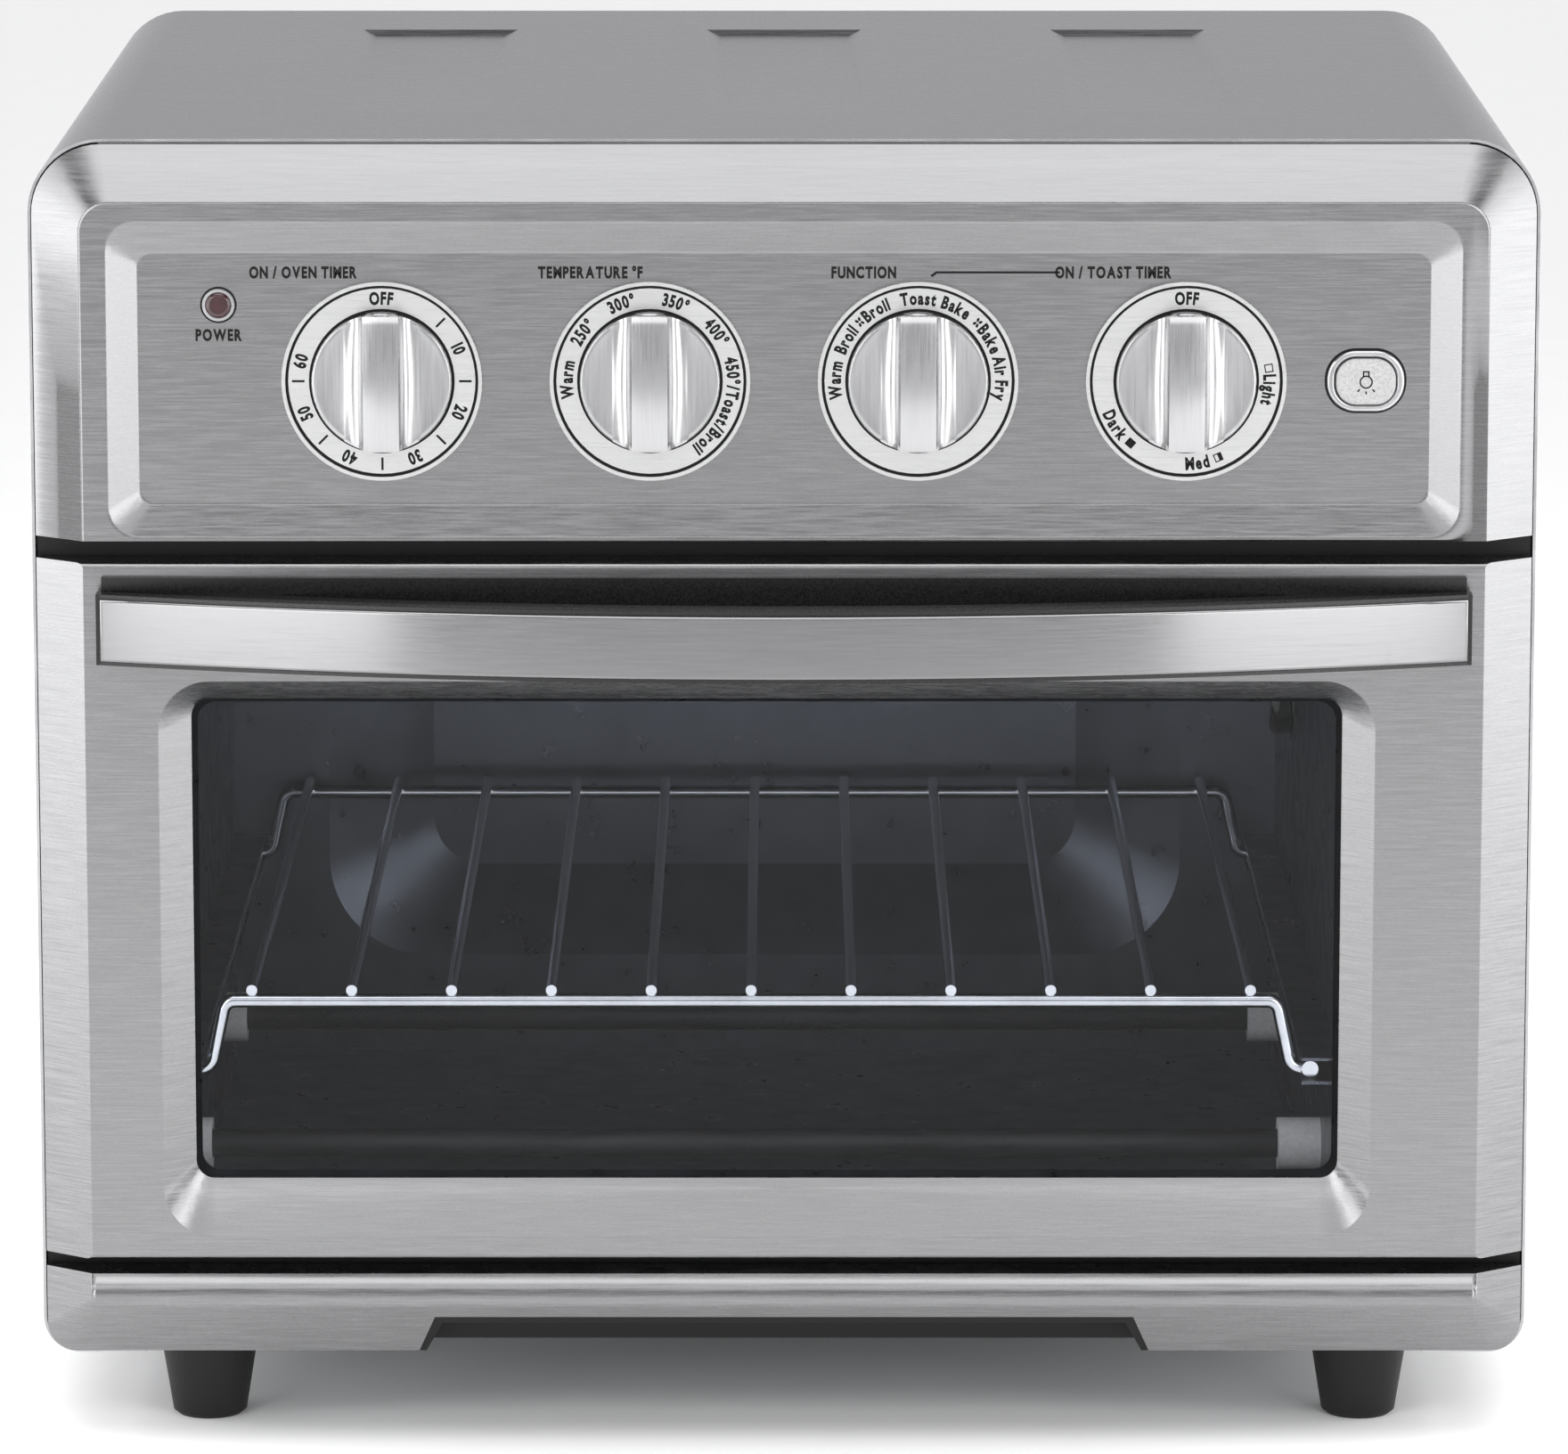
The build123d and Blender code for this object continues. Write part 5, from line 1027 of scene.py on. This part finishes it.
class OVEN_OT_handle(bpy.types.Operator):
    """Makes the bowed handle band and the black bar that lips round it"""
    bl_idname = "toaster_oven.handle"
    bl_label = "Handle"

    def execute(self, context):
        style = context.scene.oven_pressing
        softened("handle_band", "handle_band_sheet", "stainless_band", style.band_round, "door",
                 front_rim)
        self.make_bar(style)
        dress(["handle_back_plate"], "plastic")
        dress(["handle_screws"], "screw")
        return {"FINISHED"}

    def make_bar(self, style):
        """The bar keeps its CAD shape and gains the thin lips that show above, below and beside the band."""
        low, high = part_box("handle_band")
        bow, back = style.band_bow, style.lip_back
        arc_radius = (high.x ** 2 + bow ** 2) / (2 * bow)
        bm = tidy_copy("handle_bar")
        lips = bmesh.new()
        for z0, z1 in ((low.z - style.lip, low.z), (high.z, high.z + style.lip)):
            rows = []
            for step in range(65):
                x = high.x * (2 * step / 64 - 1)
                y = low.y + arc_radius - math.sqrt(arc_radius ** 2 - x ** 2)
                rows.append([lips.verts.new((x, y + dy, z)) for dy, z in (
                    (style.lip_setback, z0), (style.lip_setback, z1), (back, z1), (back, z0))])
            for one, two in zip(rows, rows[1:]):
                for a in range(4):
                    lips.faces.new((one[a], one[(a + 1) % 4], two[(a + 1) % 4], two[a]))
            lips.faces.new(rows[0])
            lips.faces.new(list(reversed(rows[-1])))
        end_y = low.y + bow
        for side in (-1, 1):
            x0, x1 = sorted((side * high.x, side * (high.x + style.lip)))
            cap = prism([(x0, low.z - style.lip), (x1, low.z - style.lip), (x1, high.z + style.lip),
                         (x0, high.z + style.lip)], end_y + style.lip_setback, end_y + back)
            join_into(lips, mesh_from(cap, "lip_end"), Matrix.Identity(4))
        join_into(bm, mesh_from(lips, "handle_lips"), Matrix.Identity(4))
        piece = object_from("handle_bar_moulding", mesh_from(bm, "handle_bar_moulding"), finish("plastic"))
        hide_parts("handle_bar")
        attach(piece, "door")


class OVEN_OT_tray(bpy.types.Operator):
    """Presses the crumb tray's front and finishes the tray"""
    bl_idname = "toaster_oven.tray"
    bl_label = "Crumb Tray"

    def execute(self, context):
        crease = context.scene.oven_pressing.crease
        softened("crumb_tray_front", "crumb_tray_strip", "stainless", crease, "crumb_tray")
        dress(["crumb_tray_pan"], "lining")
        # The grip is black plastic, and its near black also paints the shade of the slot under the strip.
        dress(["tray_grip"], "painted")
        return {"FINISHED"}


class OVEN_OT_cavity(bpy.types.Operator):
    """Finishes the oven cavity, heaters, fan and lamp"""
    bl_idname = "toaster_oven.cavity"
    bl_label = "Oven Cavity"

    def execute(self, context):
        dress(["cavity_shell", "cavity_back", "rack_guides", "fan_guard", "fan_impeller"], "lining")
        dress(["upper_heaters", "lower_heaters"], "sheath")
        dress(["heater_end_caps", "lamp_socket"], "ceramic")
        dress(["lamp_cover", "lamp_bulb"], "bulb")
        dress(["thermostat_probe"], "brass")
        dress(["fan_shaft"], "screw")
        dress(["wire_rack"], "wire")
        return {"FINISHED"}


class OVEN_OT_works(bpy.types.Operator):
    """Finishes the controls, motor and wiring block inside the casing"""
    bl_idname = "toaster_oven.works"
    bl_label = "Inner Works"

    def execute(self, context):
        dress(["oven_timer", "toast_timer", "temperature_control", "fan_motor"], "frame")
        dress(["function_switch", "light_switch", "terminal_block"], "brown")
        return {"FINISHED"}


# Each pair of soft lights: its place and aim on the right, its width and height in metres, and its watts.
SIDE_LIGHTS = (("front_softbox", (0.74, -1.20, 0.46), (0, -0.2, 0.22), 0.46, 0.9, 4.3),
               ("side_softbox", (1.15, -0.1, 0.6), (0, -0.1, 0.4), 1.3, 1.2, 14))
# The air's brightness from the horizon up, as places in a ramp.
AIR = ((0.0, "#CACACC"), (0.22, "#C0C0C2"), (0.40, "#545456"), (0.66, "#505052"), (0.78, "#E0E0E2"),
       (1.0, "#FFFFFF"))


class OVEN_OT_stage(bpy.types.Operator):
    """Sets the floor, the soft lights and the camera"""
    bl_idname = "toaster_oven.stage"
    bl_label = "Studio"

    def execute(self, context):
        scene = context.scene
        studio = scene.oven_studio
        bm = bmesh.new()
        bmesh.ops.create_grid(bm, x_segments=1, y_segments=1, size=12)
        floor = object_from("studio_floor", mesh_from(bm, "studio_floor"), finish("paper"))
        for side in (-1, 1):
            for name, (x, y, z), *rest in SIDE_LIGHTS:
                add_softbox(name, (side * x, y, z), *rest)
        add_softbox("front_strip", (0, -1.20, 0.80), (0, -0.16, 0.06), 1.7, 0.36, 3.6)
        overhead = bpy.data.lights.new("overhead_diffuser", "SUN")
        overhead.energy = studio.overhead
        overhead.angle = studio.overhead_spread
        lamp = bpy.data.objects.new("overhead_diffuser", overhead)
        lamp.rotation_euler.x = studio.overhead_lean
        scene.collection.objects.link(lamp)
        scene.world = studio_air(studio.air)
        scene.view_settings.view_transform = "Standard"
        camera_data = bpy.data.cameras.new("front_camera")
        camera_data.lens = studio.lens
        camera_data.sensor_width = 36
        camera_data.clip_end = 100
        camera = bpy.data.objects.new("front_camera", camera_data)
        scene.collection.objects.link(camera)
        camera.location = (0, -studio.distance, studio.height)
        camera.rotation_euler = (math.pi / 2 - studio.tilt, 0, 0)
        scene.camera = camera
        return {"FINISHED"}


def studio_air(strength):
    """The studio's walls and ceiling: pale low down, dark between, and bright overhead."""
    world = bpy.data.worlds.new("studio_air")
    world.use_nodes = True
    tree = world.node_tree
    place = add_node(tree, "ShaderNodeTexCoord")
    parts = add_node(tree, "ShaderNodeSeparateXYZ", {0: place.outputs["Generated"]})
    ramp = add_node(tree, "ShaderNodeValToRGB", {0: parts.outputs["Z"]})
    while len(ramp.color_ramp.elements) < len(AIR):
        ramp.color_ramp.elements.new(0.5)
    for element, (position, code) in zip(ramp.color_ramp.elements, AIR):
        element.position = position
        element.color = linear(code)
    tree.links.new(ramp.outputs[0], tree.nodes["Background"].inputs[0])
    tree.nodes["Background"].inputs[1].default_value = strength
    return world


def add_softbox(name, place, target, width, height, power):
    """A rectangular soft light that faces a point."""
    data = bpy.data.lights.new(name, "AREA")
    data.shape = "RECTANGLE"
    data.size, data.size_y = width, height
    data.energy = power
    light = bpy.data.objects.new(name, data)
    bpy.context.scene.collection.objects.link(light)
    light.location = place
    aim = Vector(target) - Vector(place)
    light.rotation_euler = aim.to_track_quat("-Z", "Y").to_euler()
    light.visible_camera = False


class OVEN_PT_sidebar(bpy.types.Panel):
    """Lists the pieces of the toaster oven"""
    bl_idname = "OVEN_PT_sidebar"
    bl_label = "Toaster Oven"
    bl_space_type = "VIEW_3D"
    bl_region_type = "UI"
    bl_category = "Toaster Oven"

    def draw(self, context):
        for operator in PIECES:
            self.layout.operator(operator.bl_idname)
        for name, group in SETTINGS.items():
            box = self.layout.box()
            for key in group.__annotations__:
                box.prop(getattr(context.scene, name), key)


PIECES = (OVEN_OT_casing, OVEN_OT_screws, OVEN_OT_control_panel, OVEN_OT_dials, OVEN_OT_knobs,
          OVEN_OT_lamp_and_button, OVEN_OT_door, OVEN_OT_handle, OVEN_OT_tray, OVEN_OT_cavity, OVEN_OT_works,
          OVEN_OT_stage)
SETTINGS = {"oven_finishes": OvenFinishes, "oven_lettering": OvenLettering, "oven_knobs": OvenKnobs,
            "oven_pressing": OvenPressing, "oven_screws": OvenScrews, "oven_studio": OvenStudio}


def register():
    for name, group in SETTINGS.items():
        bpy.utils.register_class(group)
        setattr(bpy.types.Scene, name, bpy.props.PointerProperty(type=group))
    for piece in (*PIECES, OVEN_PT_sidebar):
        bpy.utils.register_class(piece)


def unregister():
    for piece in reversed((*PIECES, OVEN_PT_sidebar)):
        bpy.utils.unregister_class(piece)
    for name, group in reversed(SETTINGS.items()):
        delattr(bpy.types.Scene, name)
        bpy.utils.unregister_class(group)


def main():
    register()
    for piece in PIECES:
        family, name = piece.bl_idname.split(".")
        getattr(getattr(bpy.ops, family), name)()


if __name__ == "__main__":
    main()
